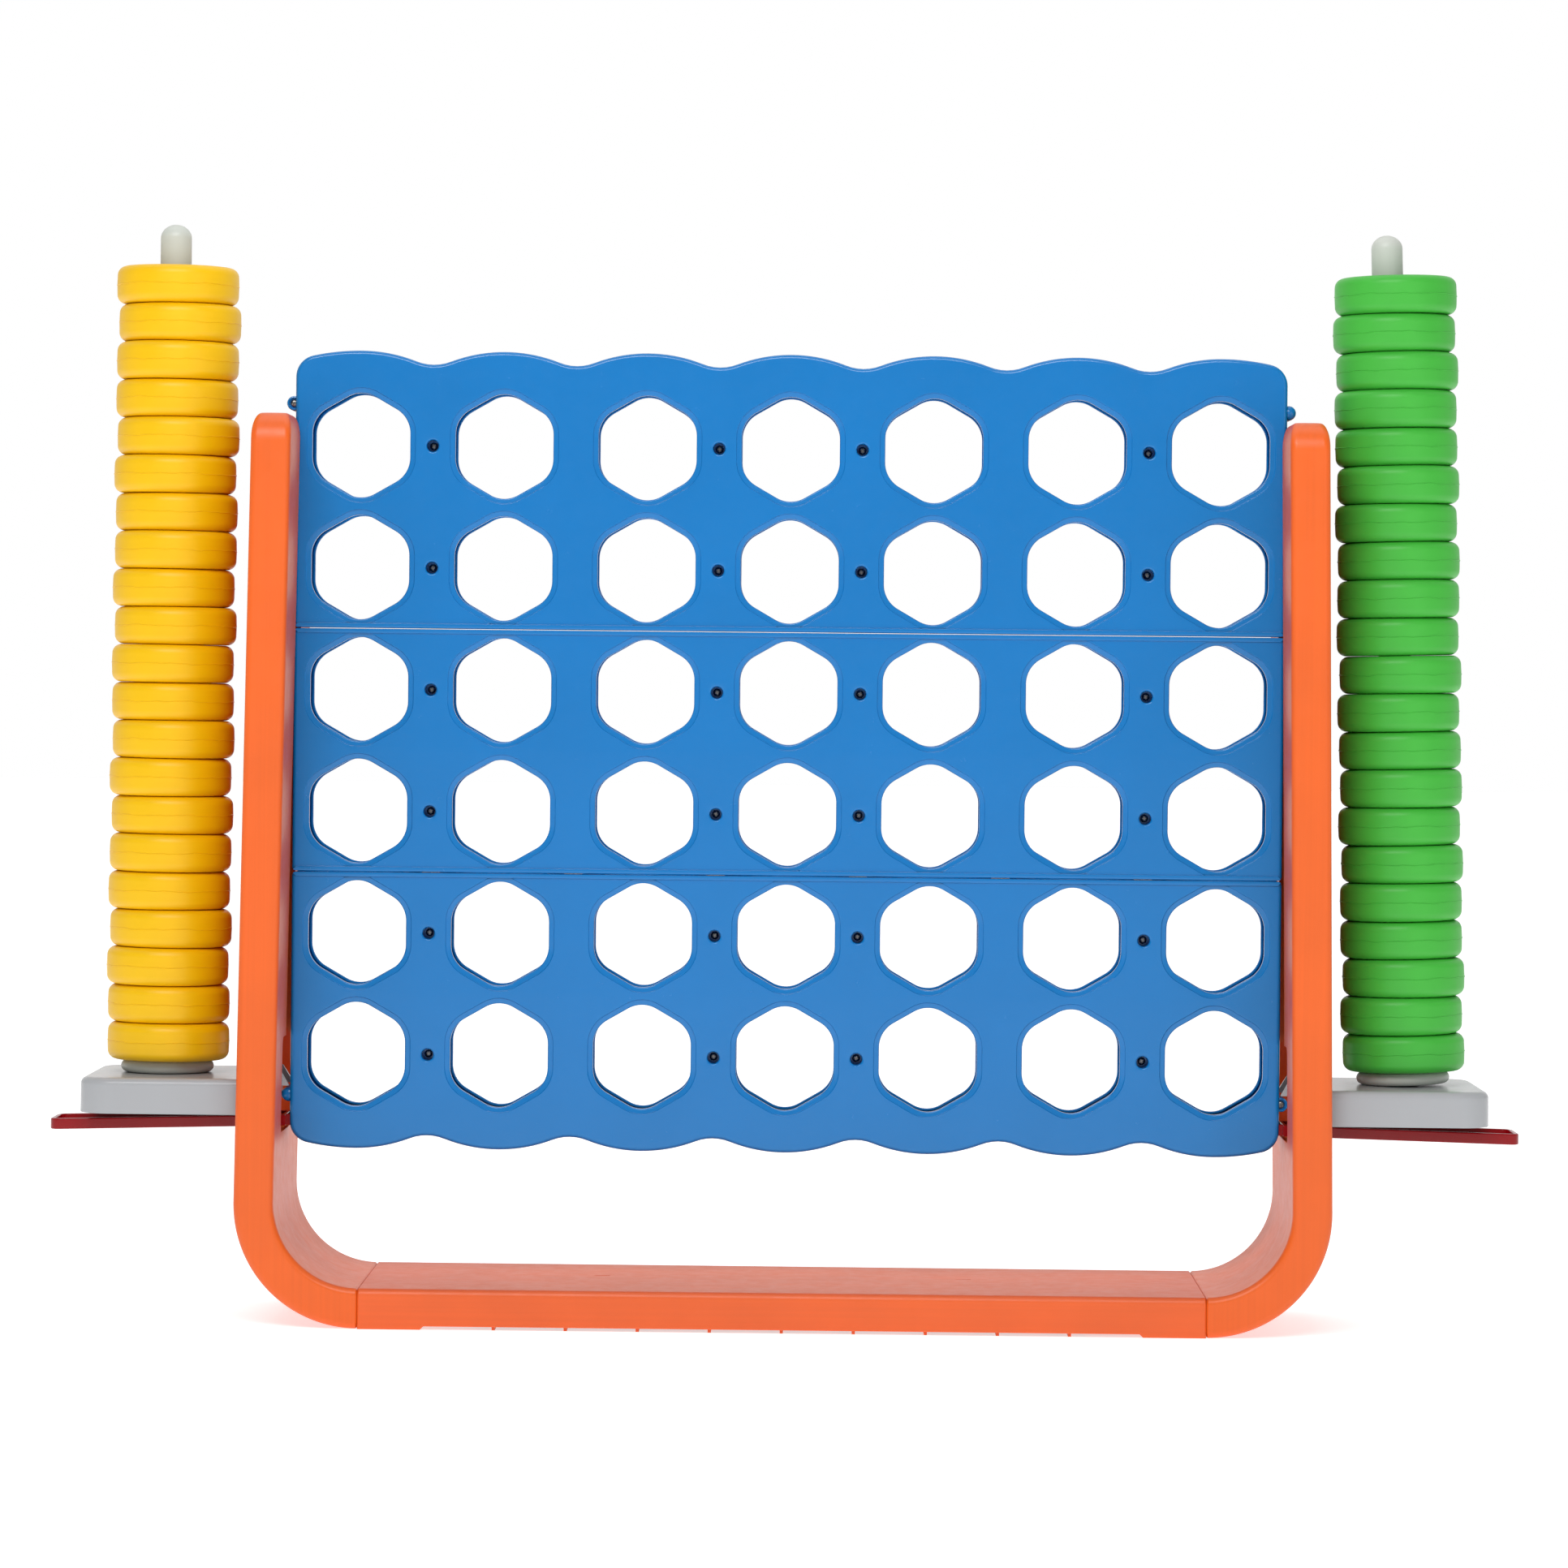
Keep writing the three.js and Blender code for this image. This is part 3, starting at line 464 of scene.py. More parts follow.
DIVIDER_XS = [column_x(i) + COLUMN_PITCH / 2 for i in range(COLUMNS - 1)]
END_COLUMN_X = column_x(COLUMNS - 1)


def scallop_depth(distance):
    """Depth of the scalloped edge below its crest, at a distance from the column's centre."""
    slope = math.asin(CREST_REACH / CREST_RADIUS)
    half = COLUMN_PITCH / 2
    valley_radius = (half - CREST_REACH) / math.sin(slope)
    if distance <= CREST_REACH:
        return CREST_RADIUS - math.sqrt(CREST_RADIUS ** 2 - distance ** 2)
    reach_depth = CREST_RADIUS * (1 - math.cos(slope))
    valley_depth = reach_depth + valley_radius * (1 - math.cos(slope))
    return valley_depth - (valley_radius - math.sqrt(valley_radius ** 2 - (half - distance) ** 2))


def scalloped_edge():
    """The upper edge from right to left, as (x, height above the board's centre)."""
    crest = BOARD_HALF_HEIGHT
    corner_x = BOARD_HALF_WIDTH - CORNER_RADIUS
    drop = END_CREST_RADIUS - CORNER_RADIUS
    offset = corner_x - END_COLUMN_X
    corner_z = crest - END_CREST_RADIUS + math.sqrt(drop ** 2 - offset ** 2)
    end_angle = math.degrees(math.acos(offset / drop))
    right = arc(corner_x, corner_z, CORNER_RADIUS, 0, end_angle, 10)
    tangent_x = right[-1][0] - END_COLUMN_X
    steps = 8
    for i in range(1, steps):
        d = tangent_x * (1 - i / steps)
        height = crest - END_CREST_RADIUS + math.sqrt(END_CREST_RADIUS ** 2 - d ** 2)
        right.append((END_COLUMN_X + d, height))
    middle = []
    per_column = 24
    for i in range((COLUMNS - 1) * per_column + 1):
        x = END_COLUMN_X - COLUMN_PITCH * i / per_column
        nearest = abs(x - COLUMN_PITCH * round(x / COLUMN_PITCH))
        middle.append((x, crest - scallop_depth(nearest)))
    left = [(-x, z) for x, z in reversed(right)]
    return right + middle + left


def seam_corner(side, z, direction):
    """Rounded corner where a side meets a seam. direction is 1 for an upper edge, -1 for a lower one."""
    r = SEAM_CORNER_RADIUS
    cx = side * (BOARD_HALF_WIDTH - r)
    if direction > 0:
        start, end = (0, 90) if side > 0 else (90, 180)
    else:
        start, end = (180, 270) if side < 0 else (270, 360)
    return arc(cx, z - direction * r, r, start, end, 4)


def seam_stations(z, going_right):
    """Points along a seam, close enough for its tabs."""
    inner = BOARD_HALF_WIDTH - SEAM_CORNER_RADIUS
    count = 220
    xs = [-inner + 2 * inner * i / count for i in range(1, count)]
    if not going_right:
        xs.reverse()
    return [(x, z) for x in xs]


SEAM_GAP = 1.0 * MM


def panel_outline(is_end):
    """Counter-clockwise outline of the top panel, or of the middle one, in (x, z)."""
    low = BOARD_CENTRE_Z + (ROW_PITCH if is_end else -ROW_PITCH) + SEAM_GAP / 2
    points = seam_corner(-1, low, -1) + seam_stations(low, True) + seam_corner(1, low, -1)
    if is_end:
        points += [(x, BOARD_CENTRE_Z + h) for x, h in scalloped_edge()]
    else:
        high = BOARD_CENTRE_Z + ROW_PITCH - SEAM_GAP / 2
        points += seam_corner(1, high, 1) + seam_stations(high, False) + seam_corner(-1, high, 1)
    return points


def window_loop(cx, cz, grow):
    """Rounded hexagon standing on a corner, clockwise to be a hole, grown outwards by grow."""
    inset = (WINDOW_HALF_WIDTH - WINDOW_CORNER_RADIUS) / math.cos(math.pi / 6)
    points = []
    for corner in range(6):
        direction = 30 + 60 * corner
        ax = cx + inset * math.cos(math.radians(direction))
        az = cz + inset * math.sin(math.radians(direction))
        points += arc(ax, az, WINDOW_CORNER_RADIUS + grow, direction - 30, direction + 30, 11)
    points.reverse()
    return points


# Edge profiles: (distance from the edge into the face, depth behind the face), in millimetres.
WINDOW_PROFILE = [(6.5, 0), (6.2, 0.08), (6.0, 0.3), (5.85, 0.9), (5.65, 1.15), (5.3, 1.25), (1.5, 1.6),
                  (0.7, 1.85), (0.2, 2.4), (0, 3.2), (0, 7.9), (0.2, 8.2), (0.5, 8.3), (2.0, 8.3),
                  (2.3, 8.2), (2.5, 7.9), (2.5, 4.6), (3.2, 3.3), (4.4, 3.0)]
EDGE_PROFILE = [(4.4, 0), (3.6, 0.06), (2.6, 0.35), (1.7, 0.9), (0.95, 1.65), (0.4, 2.6), (0.1, 3.5),
                (0.0, 4.4), (0.0, 6.0), (0.0, 7.4), (0, 7.9), (0.2, 8.2), (0.5, 8.3), (2.0, 8.3),
                (2.3, 8.2), (2.5, 7.9), (2.5, 4.6), (3.2, 3.3), (4.4, 3.0)]
SEAM_PROFILE = [(5.4, 0), (5.2, -0.1), (5.0, -0.8), (4.8, -1.4), (4.4, -1.7), (1.2, -1.7), (0.5, -1.5),
                (0.1, -0.9), (0.0, -0.1), (0.0, 3.0), (0, 7.9), (0.2, 8.2), (0.5, 8.3), (2.0, 8.3),
                (2.3, 8.2), (2.5, 7.9), (2.5, 4.6), (3.2, 3.3), (4.4, 3.0)]
RECESS_PROFILE = [(2.2, 0), (1.5, 0.1), (0.9, 0.45), (0.4, 1.0), (0.1, 1.8), (0, 2.8)]
RIM_RETURN = 8.3                       # how deep the rims reach behind the face
SIDE_ROWS = range(10, 16)              # profile rows that reach the full shell depth on the sides
SEAM_ZONE = 0.45 * SEAM_CORNER_RADIUS  # an outline point this near a seam gets the seam profile


def edge_station(point, index_profile, is_end):
    """Offset and depth for one outline point and one profile row, in metres."""
    x, z = point
    low_seam = BOARD_CENTRE_Z + (ROW_PITCH if is_end else -ROW_PITCH)
    high_seam = None if is_end else BOARD_CENTRE_Z + ROW_PITCH
    near_low = z - low_seam < SEAM_ZONE
    near_high = high_seam is not None and high_seam - z < SEAM_ZONE
    profile = SEAM_PROFILE if near_low or near_high else EDGE_PROFILE
    offset, depth = profile[index_profile]
    on_side = abs(x) > BOARD_HALF_WIDTH - 0.2 * MM
    if on_side and index_profile in SIDE_ROWS:
        depth += SHELL_DEPTH / MM - RIM_RETURN
    return offset * MM, depth * MM


def outline_rings(outline, is_end):
    """The outer edge of a shell: one ring of points for each profile row."""
    steps = {}
    rings = []
    for row in range(len(EDGE_PROFILE)):
        ring = []
        for i, point in enumerate(outline):
            offset, depth = edge_station(point, row, is_end)
            if offset not in steps:
                steps[offset] = offset_outline(outline, offset)
            x, z = steps[offset][i]
            ring.append((x, FACE_Y + depth, z))
        rings.append(ring)
    return rings


def add_boss(bm, x, z):
    """Recess for one screw in the face, and its boss behind. Returns the loops to cut from the two faces."""
    steps = 32
    angles = [-2 * math.pi * i / steps for i in range(steps)]

    def ring(radius, depth):
        return [(x + radius * math.cos(a), FACE_Y + depth, z + radius * math.sin(a)) for a in angles]

    front = [ring(SCREW_RECESS_RADIUS + grow * MM, depth * MM) for grow, depth in RECESS_PROFILE]
    front.append(ring(SCREW_RECESS_RADIUS, SCREW_RECESS_DEPTH))
    front.append(ring(3.2 * MM, SCREW_RECESS_DEPTH))
    front_loops = loft(bm, front, True, False, True)
    back = [ring(BOSS_RADIUS, SHELL_WALL), ring(BOSS_RADIUS, SHELL_DEPTH - 0.4 * MM),
            ring(BOSS_RADIUS - 0.4 * MM, SHELL_DEPTH)]
    back_loops = loft(bm, back, True, False, True)
    return front_loops[0], back_loops[0]


def add_divider(bm, x, z0, z1):
    """Two thin walls between neighbouring columns, closed at both ends."""
    front = FACE_Y + SHELL_WALL - ROOT_OVERLAP
    back = FACE_Y + SHELL_DEPTH
    outer = DIVIDER_HALF_WIDTH
    inner = DIVIDER_HALF_WIDTH - DIVIDER_WALL
    block(bm, x - outer, x - inner, front, back, z0, z1)
    block(bm, x + inner, x + outer, front, back, z0, z1)
    block(bm, x - inner, x + inner, front, back, z0, z0 + DIVIDER_WALL)
    block(bm, x - inner, x + inner, front, back, z1 - DIVIDER_WALL, z1)


def add_lugs(bm, z):
    """Side lugs: a screw seat on the left, a blind dome on the right."""
    half = LUG_HALF_DEPTH
    r = LUG_RADIUS
    dome = [(0, -half - 1.2 * MM), (r * 0.3, -half - 1.0 * MM), (r * 0.55, -half - 0.3 * MM),
            (r * 0.78, -half + 1.0 * MM), (r * 0.93, -half + 2.8 * MM), (r, -half + 5 * MM), (r, -0.2 * MM),
            (0, -0.2 * MM)]
    floor = -half + LUG_SEAT_DEPTH
    seat = [(0, floor), (r * 0.72, floor), (r * 0.74, -half + 0.5 * MM),
            (r * 0.8, -half), (r * 0.92, -half + 0.3 * MM), (r, -half + 1.4 * MM), (r, -0.2 * MM),
            (0, -0.2 * MM)]
    for side, profile in ((-1, seat), (1, dome)):
        revolve(bm, profile, 40, lambda a, b, h, s=side: (s * LUG_X + a, h, z + b))


def panel_shell(name, is_end, carries_slider=False):
    """Front shell of the top or the middle panel."""
    bm = bmesh.new()
    outline = panel_outline(is_end)
    edge = loft(bm, outline_rings(outline, is_end))
    panel_z = BOARD_CENTRE_Z + (2 * ROW_PITCH if is_end else 0)
    rows = (panel_z - ROW_PITCH / 2, panel_z + ROW_PITCH / 2)
    front_loops = [edge[0]]
    back_loops = [edge[-1]]
    for column in range(COLUMNS):
        for z in rows:
            rings = [[(x, FACE_Y + depth * MM, zz) for x, zz in window_loop(column_x(column), z, grow * MM)]
                     for grow, depth in WINDOW_PROFILE]
            loops = loft(bm, rings)
            front_loops.append(loops[0])
            back_loops.append(loops[-1])
    for i in SCREWED_DIVIDERS:
        for z in rows:
            front, back = add_boss(bm, DIVIDER_XS[i], z)
            front_loops.append(front)
            back_loops.append(back)
    fill_flat(bm, front_loops)
    fill_flat(bm, back_loops)
    low = panel_z - ROW_PITCH + 1 * MM
    high = panel_z + ROW_PITCH - 1 * MM
    if is_end:
        high = BOARD_CENTRE_Z + BOARD_HALF_HEIGHT - scallop_depth(COLUMN_PITCH / 2) - 2 * MM
    if carries_slider:
        slider_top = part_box("right_slider")[1][2]
        high = 2 * BOARD_CENTRE_Z - slider_top - 2.5 * MM
        ledge_z = 2 * BOARD_CENTRE_Z - ledge_top
        reach = BOARD_HALF_WIDTH - 2 * MM
        rooted = FACE_Y + SHELL_WALL - ROOT_OVERLAP
        block(bm, -reach, reach, rooted, -LEDGE_EDGE_Y, ledge_z, ledge_z + LEDGE_THICKNESS)
    for x in DIVIDER_XS:
        add_divider(bm, x, low, high)
    if is_end:
        add_lugs(bm, LUG_Z)
    return plain_object(name, bm)


def cut_slider_slots(obj):
    """Openings in the side walls of a bottom shell for the sliders, cut before the shell is turned over."""
    bm = bmesh.new()
    slider_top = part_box("right_slider")[1][2]
    z1 = 2 * BOARD_CENTRE_Z - ledge_top
    z0 = 2 * BOARD_CENTRE_Z - slider_top - 1.5 * MM
    for side in (-1, 1):
        x0, x1 = sorted((side * (BOARD_HALF_WIDTH - 5 * MM), side * (BOARD_HALF_WIDTH + 5 * MM)))
        block(bm, x0, x1, -26.8 * MM, 5 * MM, z0, z1)
    subtract(obj, plain_object("slot_cutter", bm))


def build_board():
    end_front = panel_shell("top_front_shell", True)
    end_back = turned_copy(end_front, "top_back_shell", HALF_TURN_Z)
    middle_front = panel_shell("middle_front_shell", False)
    middle_back = turned_copy(middle_front, "middle_back_shell", HALF_TURN_Z)
    bottom_front = panel_shell("bottom_front_shell", True, True)
    cut_slider_slots(bottom_front)
    about_centre = Matrix.Translation((0, 0, 2 * BOARD_CENTRE_Z)) @ Matrix.Rotation(math.pi, 4, "Y")
    bottom_front.data.transform(about_centre)
    bottom_back = turned_copy(bottom_front, "bottom_back_shell", HALF_TURN_Z)
    shells = {
        "top_panel_front": end_front, "top_panel_back": end_back,
        "middle_panel_front": middle_front, "middle_panel_back": middle_back,
        "bottom_panel_front": bottom_front, "bottom_panel_back": bottom_back,
    }
    for node, shell in shells.items():
        dress(shell, board_blue, "root", "board_plastic", node, smooth_angle=40)


# ---- screws --------------------------------------------------------------------------

def screw_mesh():
    """Pan head with a cross recess, facing -Y, its seat at the origin."""
    bm = bmesh.new()
    head = [(0, 2.6), (1.6, 2.5), (2.9, 2.15), (3.8, 1.5), (4.3, 0.7), (4.4, 0.2), (4.3, 0), (1.6, 0),
            (1.6, -9), (0, -10)]
    revolve(bm, [(r * MM, h * MM) for r, h in head], 32, lambda a, b, h: (a, -h, b))
    screw = plain_object("screw_blank", bm)
    bm = bmesh.new()
    arm = 2.2 * MM
    half = 0.45 * MM
    plus = [(-arm, -half), (-half, -half), (-half, -arm), (half, -arm), (half, -half), (arm, -half),
            (arm, half), (half, half), (half, arm), (-half, arm), (-half, half), (-arm, half)]
    prism(bm, plus, -5 * MM, -1.1 * MM)
    subtract(screw, plain_object("cross_cutter", bm))
    mesh = screw.data
    bpy.data.objects.remove(screw, do_unlink=True)
    return mesh


def place_screw(mesh, name, x, y, z, spin, facing_back=False):
    obj = bpy.data.objects.new(name, mesh.copy())
    bpy.context.collection.objects.link(obj)
    turn = HALF_TURN_Z if facing_back else Matrix.Identity(4)
    obj.matrix_world = Matrix.Translation((x, y, z)) @ turn @ Matrix.Rotation(math.radians(spin), 4, "Y")
    dress(obj, screw_steel, "root", "screw_steel")


def build_screws():
    mesh = screw_mesh()
    seat = FACE_Y + SCREW_RECESS_DEPTH
    count = 0
    for row in range(6):
        z = BOARD_CENTRE_Z + (row - 2.5) * ROW_PITCH
        for i in SCREWED_DIVIDERS:
            count += 1
            place_screw(mesh, f"panel_screw_{count:02d}", DIVIDER_XS[i], seat, z, 37 * count)
    lug_seat = -LUG_HALF_DEPTH + LUG_SEAT_DEPTH
    low_z = 2 * BOARD_CENTRE_Z - LUG_Z
    places = (("top_left", -1, LUG_Z, False), ("bottom_right", 1, low_z, False),
              ("top_back", 1, LUG_Z, True), ("bottom_back", -1, low_z, True))
    for name, side, z, back in places:
        y = -lug_seat if back else lug_seat
        place_screw(mesh, f"lug_screw_{name}", side * LUG_X, y, z, 20, back)


# ---- stand ---------------------------------------------------------------------------

def leg_line(z):
    """Outer face of the right leg at a height."""
    share = (z - OUTER_BEND_RADIUS) / (LEG_TOP_Z - OUTER_BEND_RADIUS)
    return LEG_FOOT_X + (LEG_TOP_X - LEG_FOOT_X) * share


def section(outer, inner, half_depth, shrink):
    """Rounded rectangle across the stand between an outer and an inner point in (x, z)."""
    outer = Vector(outer)
    inner = Vector(inner)
    centre = (outer + inner) / 2
    across = (outer - inner) / 2
    half = across.length - shrink
    direction = across.normalized()
    half_depth = half_depth - shrink
    radius = min(STAND_EDGE_RADIUS, half * 0.9)
    ring = []
    for quarter, (sn, sy) in enumerate(((1, 1), (-1, 1), (-1, -1), (1, -1))):
        cn = sn * (half - radius)
        cy = sy * (half_depth - radius)
        for n, y in arc(cn, cy, radius, 90 * quarter, 90 * quarter + 90, 7):
            point = centre + direction * n
            ring.append((point.x, y, point.y))
    return ring


def leg_skin():
    """Closed outer form of the right leg."""
    bend_x = LEG_FOOT_X - OUTER_BEND_RADIUS
    inner_z = BASE_TOP + INNER_BEND_RADIUS
    inner_x = leg_line(inner_z) - LEG_WIDTH - INNER_BEND_RADIUS
    start = math.degrees(math.asin((LEG_START_X - bend_x) / OUTER_BEND_RADIUS))
    stations = []
    steps = 40
    for i in range(steps + 1):
        angle = math.radians(-90 + start + (90 - start) * i / steps)
        outer = (bend_x + OUTER_BEND_RADIUS * math.cos(angle),
                 OUTER_BEND_RADIUS + OUTER_BEND_RADIUS * math.sin(angle))
        inner = (inner_x + INNER_BEND_RADIUS * math.cos(angle), inner_z + INNER_BEND_RADIUS * math.sin(angle))
        if i == 0:
            outer = (LEG_START_X, 0)
            inner = (LEG_START_X, BASE_TOP)
        stations.append((outer, inner, STAND_HALF_DEPTH, 0))
    first = stations[0]
    stations[0] = (first[0], first[1], first[2], JOINT_BEVEL)
    shifted = [(p[0] + JOINT_BEVEL, p[1]) for p in first[:2]]
    stations.insert(1, (shifted[0], shifted[1], STAND_HALF_DEPTH, 0))
    crown_z = LEG_TOP_Z - LEG_CROWN_RADIUS
    for i in range(1, 12):
        z = inner_z + (crown_z - inner_z) * i / 11
        stations.append(((leg_line(z), z), (leg_line(z) - LEG_WIDTH, z), STAND_HALF_DEPTH, 0))
    rounds = 14
    for i in range(1, rounds + 1):
        angle = math.pi / 2 * i / rounds
        z = crown_z + LEG_CROWN_RADIUS * math.sin(angle)
        half_depth = STAND_HALF_DEPTH - LEG_CROWN_RADIUS * (1 - math.cos(angle))
        up = max(0, (z - (LEG_TOP_Z - LEG_TOP_END_ROUND)) / LEG_TOP_END_ROUND)
        side = LEG_TOP_SIDE_ROUND * (1 - math.sqrt(max(0, 1 - up ** 2)))
        x = leg_line(z)
        stations.append(((x - side, z), (x - LEG_WIDTH + side, z), half_depth, 0))
    bm = bmesh.new()
    loft(bm, [section(*s) for s in stations], True, True, True)
    return plain_object("right_leg_shell", bm)


def leg_slab(bm, z0, z1, depth0, depth1, y0, y1):
    """Slanted block following the leg, between two depths from its inner face."""
    outline = []
    for z, depth in ((z0, depth0), (z0, depth1), (z1, depth1), (z1, depth0)):
        outline.append((leg_line(z) - LEG_WIDTH + depth, z))
    prism(bm, outline, y0, y1)


def leg_cutters():
    """Hollow bays, the port for tray and slider, and the groove for the board."""
    bm = bmesh.new()
    side = STAND_HALF_DEPTH - RIM_WALL
    out = LEG_WIDTH + 4 * MM
    rib = RIB_THICKNESS
    groove = GROOVE_HALF_WIDTH + STAND_WALL
    lower = (LOWER_BAY_Z, PORT_BOTTOM - PORT_FRAME)
    leg_slab(bm, *lower, STAND_WALL, out, rib / 2, side)
    leg_slab(bm, *lower, STAND_WALL, out, -side, -rib / 2)
    leg_slab(bm, PORT_BOTTOM - PORT_BAY_MARGIN, PORT_TOP + PORT_BAY_MARGIN, STAND_WALL, out, -side, side)
    bays = [(PORT_TOP + PORT_FRAME, UPPER_BAY_Z)]
    pitch = (LEG_TOP_Z - TOP_BAND - UPPER_BAY_Z) / UPPER_BAYS
    bays += [(UPPER_BAY_Z + rib + i * pitch, UPPER_BAY_Z + (i + 1) * pitch) for i in range(UPPER_BAYS)]
    for z0, z1 in bays:
        under_crown = z1 > LEG_TOP_Z - LEG_CROWN_RADIUS - STAND_WALL
        reach = side - CROWN_BAY_INSET if under_crown else side
        leg_slab(bm, z0, z1, STAND_WALL, out, groove, reach)
        leg_slab(bm, z0, z1, STAND_WALL, out, -reach, -groove)
        leg_slab(bm, z0, z1, GROOVE_DEPTH + STAND_WALL, out, -GROOVE_HALF_WIDTH, GROOVE_HALF_WIDTH)
    bend_x = LEG_FOOT_X - OUTER_BEND_RADIUS
    inner = OUTER_BEND_RADIUS - LEG_WIDTH + BEND_SKIN
    for start, end in BEND_BAYS:
        outline = arc(bend_x, OUTER_BEND_RADIUS, inner, start, end, 8)
        outline += arc(bend_x, OUTER_BEND_RADIUS, OUTER_BEND_RADIUS + BEND_OVERCUT, end, start, 8)
        prism(bm, outline, -side, side)
    return plain_object("bay_cutters", bm)


def port_cutter():
    """Opening through the leg with rounded corners, in the (y, z) plane."""
    bm = bmesh.new()
    r = PORT_CORNER_RADIUS
    y = PORT_HALF_WIDTH - r
    outline = arc(y, PORT_BOTTOM + r, r, -90, 0, 5) + arc(y, PORT_TOP - r, r, 0, 90, 5)
    outline += arc(-y, PORT_TOP - r, r, 90, 180, 5) + arc(-y, PORT_BOTTOM + r, r, 180, 270, 5)
    x0 = LEG_TOP_X - LEG_WIDTH - 10 * MM
    x1 = LEG_FOOT_X + 5 * MM
    loft(bm, [[(x, yy, zz) for yy, zz in outline] for x in (x0, x1)], True, True, True)
    return plain_object("port_cutter", bm)


def groove_cutter():
    bm = bmesh.new()
    half = GROOVE_HALF_WIDTH
    leg_slab(bm, PORT_TOP - 2 * MM, LEG_TOP_Z + 5 * MM, -5 * MM, GROOVE_DEPTH, -half, half)
    return plain_object("groove_cutter", bm)


def build_legs():
    leg = leg_skin()
    subtract(leg, leg_cutters())
    subtract(leg, port_cutter())
    subtract(leg, groove_cutter())
    left = turned_copy(leg, "left_leg_shell", HALF_TURN_Z)
    dress(leg, leg_orange, "root", "stand_plastic", "right_leg")
    dress(left, leg_orange, "root", "stand_plastic", "left_leg")


def base_section(x, shrink, low):
    """Cross-section of the base: round upper edges, small lower ones."""
    half = STAND_HALF_DEPTH - shrink
    top = BASE_TOP - shrink
    r = STAND_EDGE_RADIUS
    small = 1.5 * MM
    points = arc(half - r, top - r, r, 0, 90, 8) + arc(-half + r, top - r, r, 90, 180, 8)
    points += arc(-half + small, low + small, small, 180, 270, 3)
    points += arc(half - small, low + small, small, 270, 360, 3)
    return [(x, y, z) for y, z in points]


def build_base():
    bm = bmesh.new()
    end = BASE_END_X
    lip = BASE_LIP_X
    raised = BASE_LIP_RAISE
    slope = 4 * MM
    stations = [(end, JOINT_BEVEL, 0), (end - JOINT_BEVEL, 0, 0), (lip, 0, 0), (lip - slope, 0, raised)]
    rings = [base_section(-x, shrink, low) for x, shrink, low in stations]
    rings += [base_section(x, shrink, low) for x, shrink, low in reversed(stations)]
    loft(bm, rings, True, True, True)
    base = plain_object("base_shell", bm)
    cutter = bmesh.new()
    side = STAND_HALF_DEPTH - STAND_WALL
    rib_xs = [i * BASE_RIB_PITCH for i in range(-BASE_SIDE_RIBS, BASE_SIDE_RIBS + 1)]
    half = RIB_THICKNESS / 2
    walls = [-lip - STAND_WALL, -lip]
    walls += [x + s * half for x in rib_xs for s in (-1, 1)]
    walls += [lip, lip + STAND_WALL]
    edges = [-end + STAND_WALL] + walls + [end - STAND_WALL]
    for x0, x1 in zip(edges[0::2], edges[1::2]):
        for y0, y1 in ((-side, -half), (half, side)):
            block(cutter, x0, x1, y0, y1, -5 * MM, BASE_TOP - STAND_WALL)
    for side_sign in (-1, 1):
        x = side_sign * BASE_SLOT_X
        slot = arc(x + BASE_SLOT_HALF_LENGTH, BASE_SLOT_Y, BASE_SLOT_RADIUS, -90, 90, 5)
        slot += arc(x - BASE_SLOT_HALF_LENGTH, BASE_SLOT_Y, BASE_SLOT_RADIUS, 90, 270, 5)
        ring = [[(px, py, z) for px, py in slot] for z in (BASE_TOP - 20 * MM, BASE_TOP + 5 * MM)]
        loft(cutter, ring, True, True, True)
    subtract(base, plain_object("base_cutters", cutter))
    bm = bmesh.new()
    for x in rib_xs:
        block(bm, x - half, x + half, -side, side, 0, BASE_TOP - STAND_WALL + 1 * MM)
    ribs = plain_object("base_ribs", bm)
    dress(base, base_orange, "root", "stand_plastic", "base_plate")
    dress(ribs, base_orange, "root", "stand_plastic")


# ---- sliders -------------------------------------------------------------------------

def round_edges(obj):
    modifier = obj.modifiers.new("round", "BEVEL")
    modifier.width = 0.6 * MM
    modifier.segments = 2


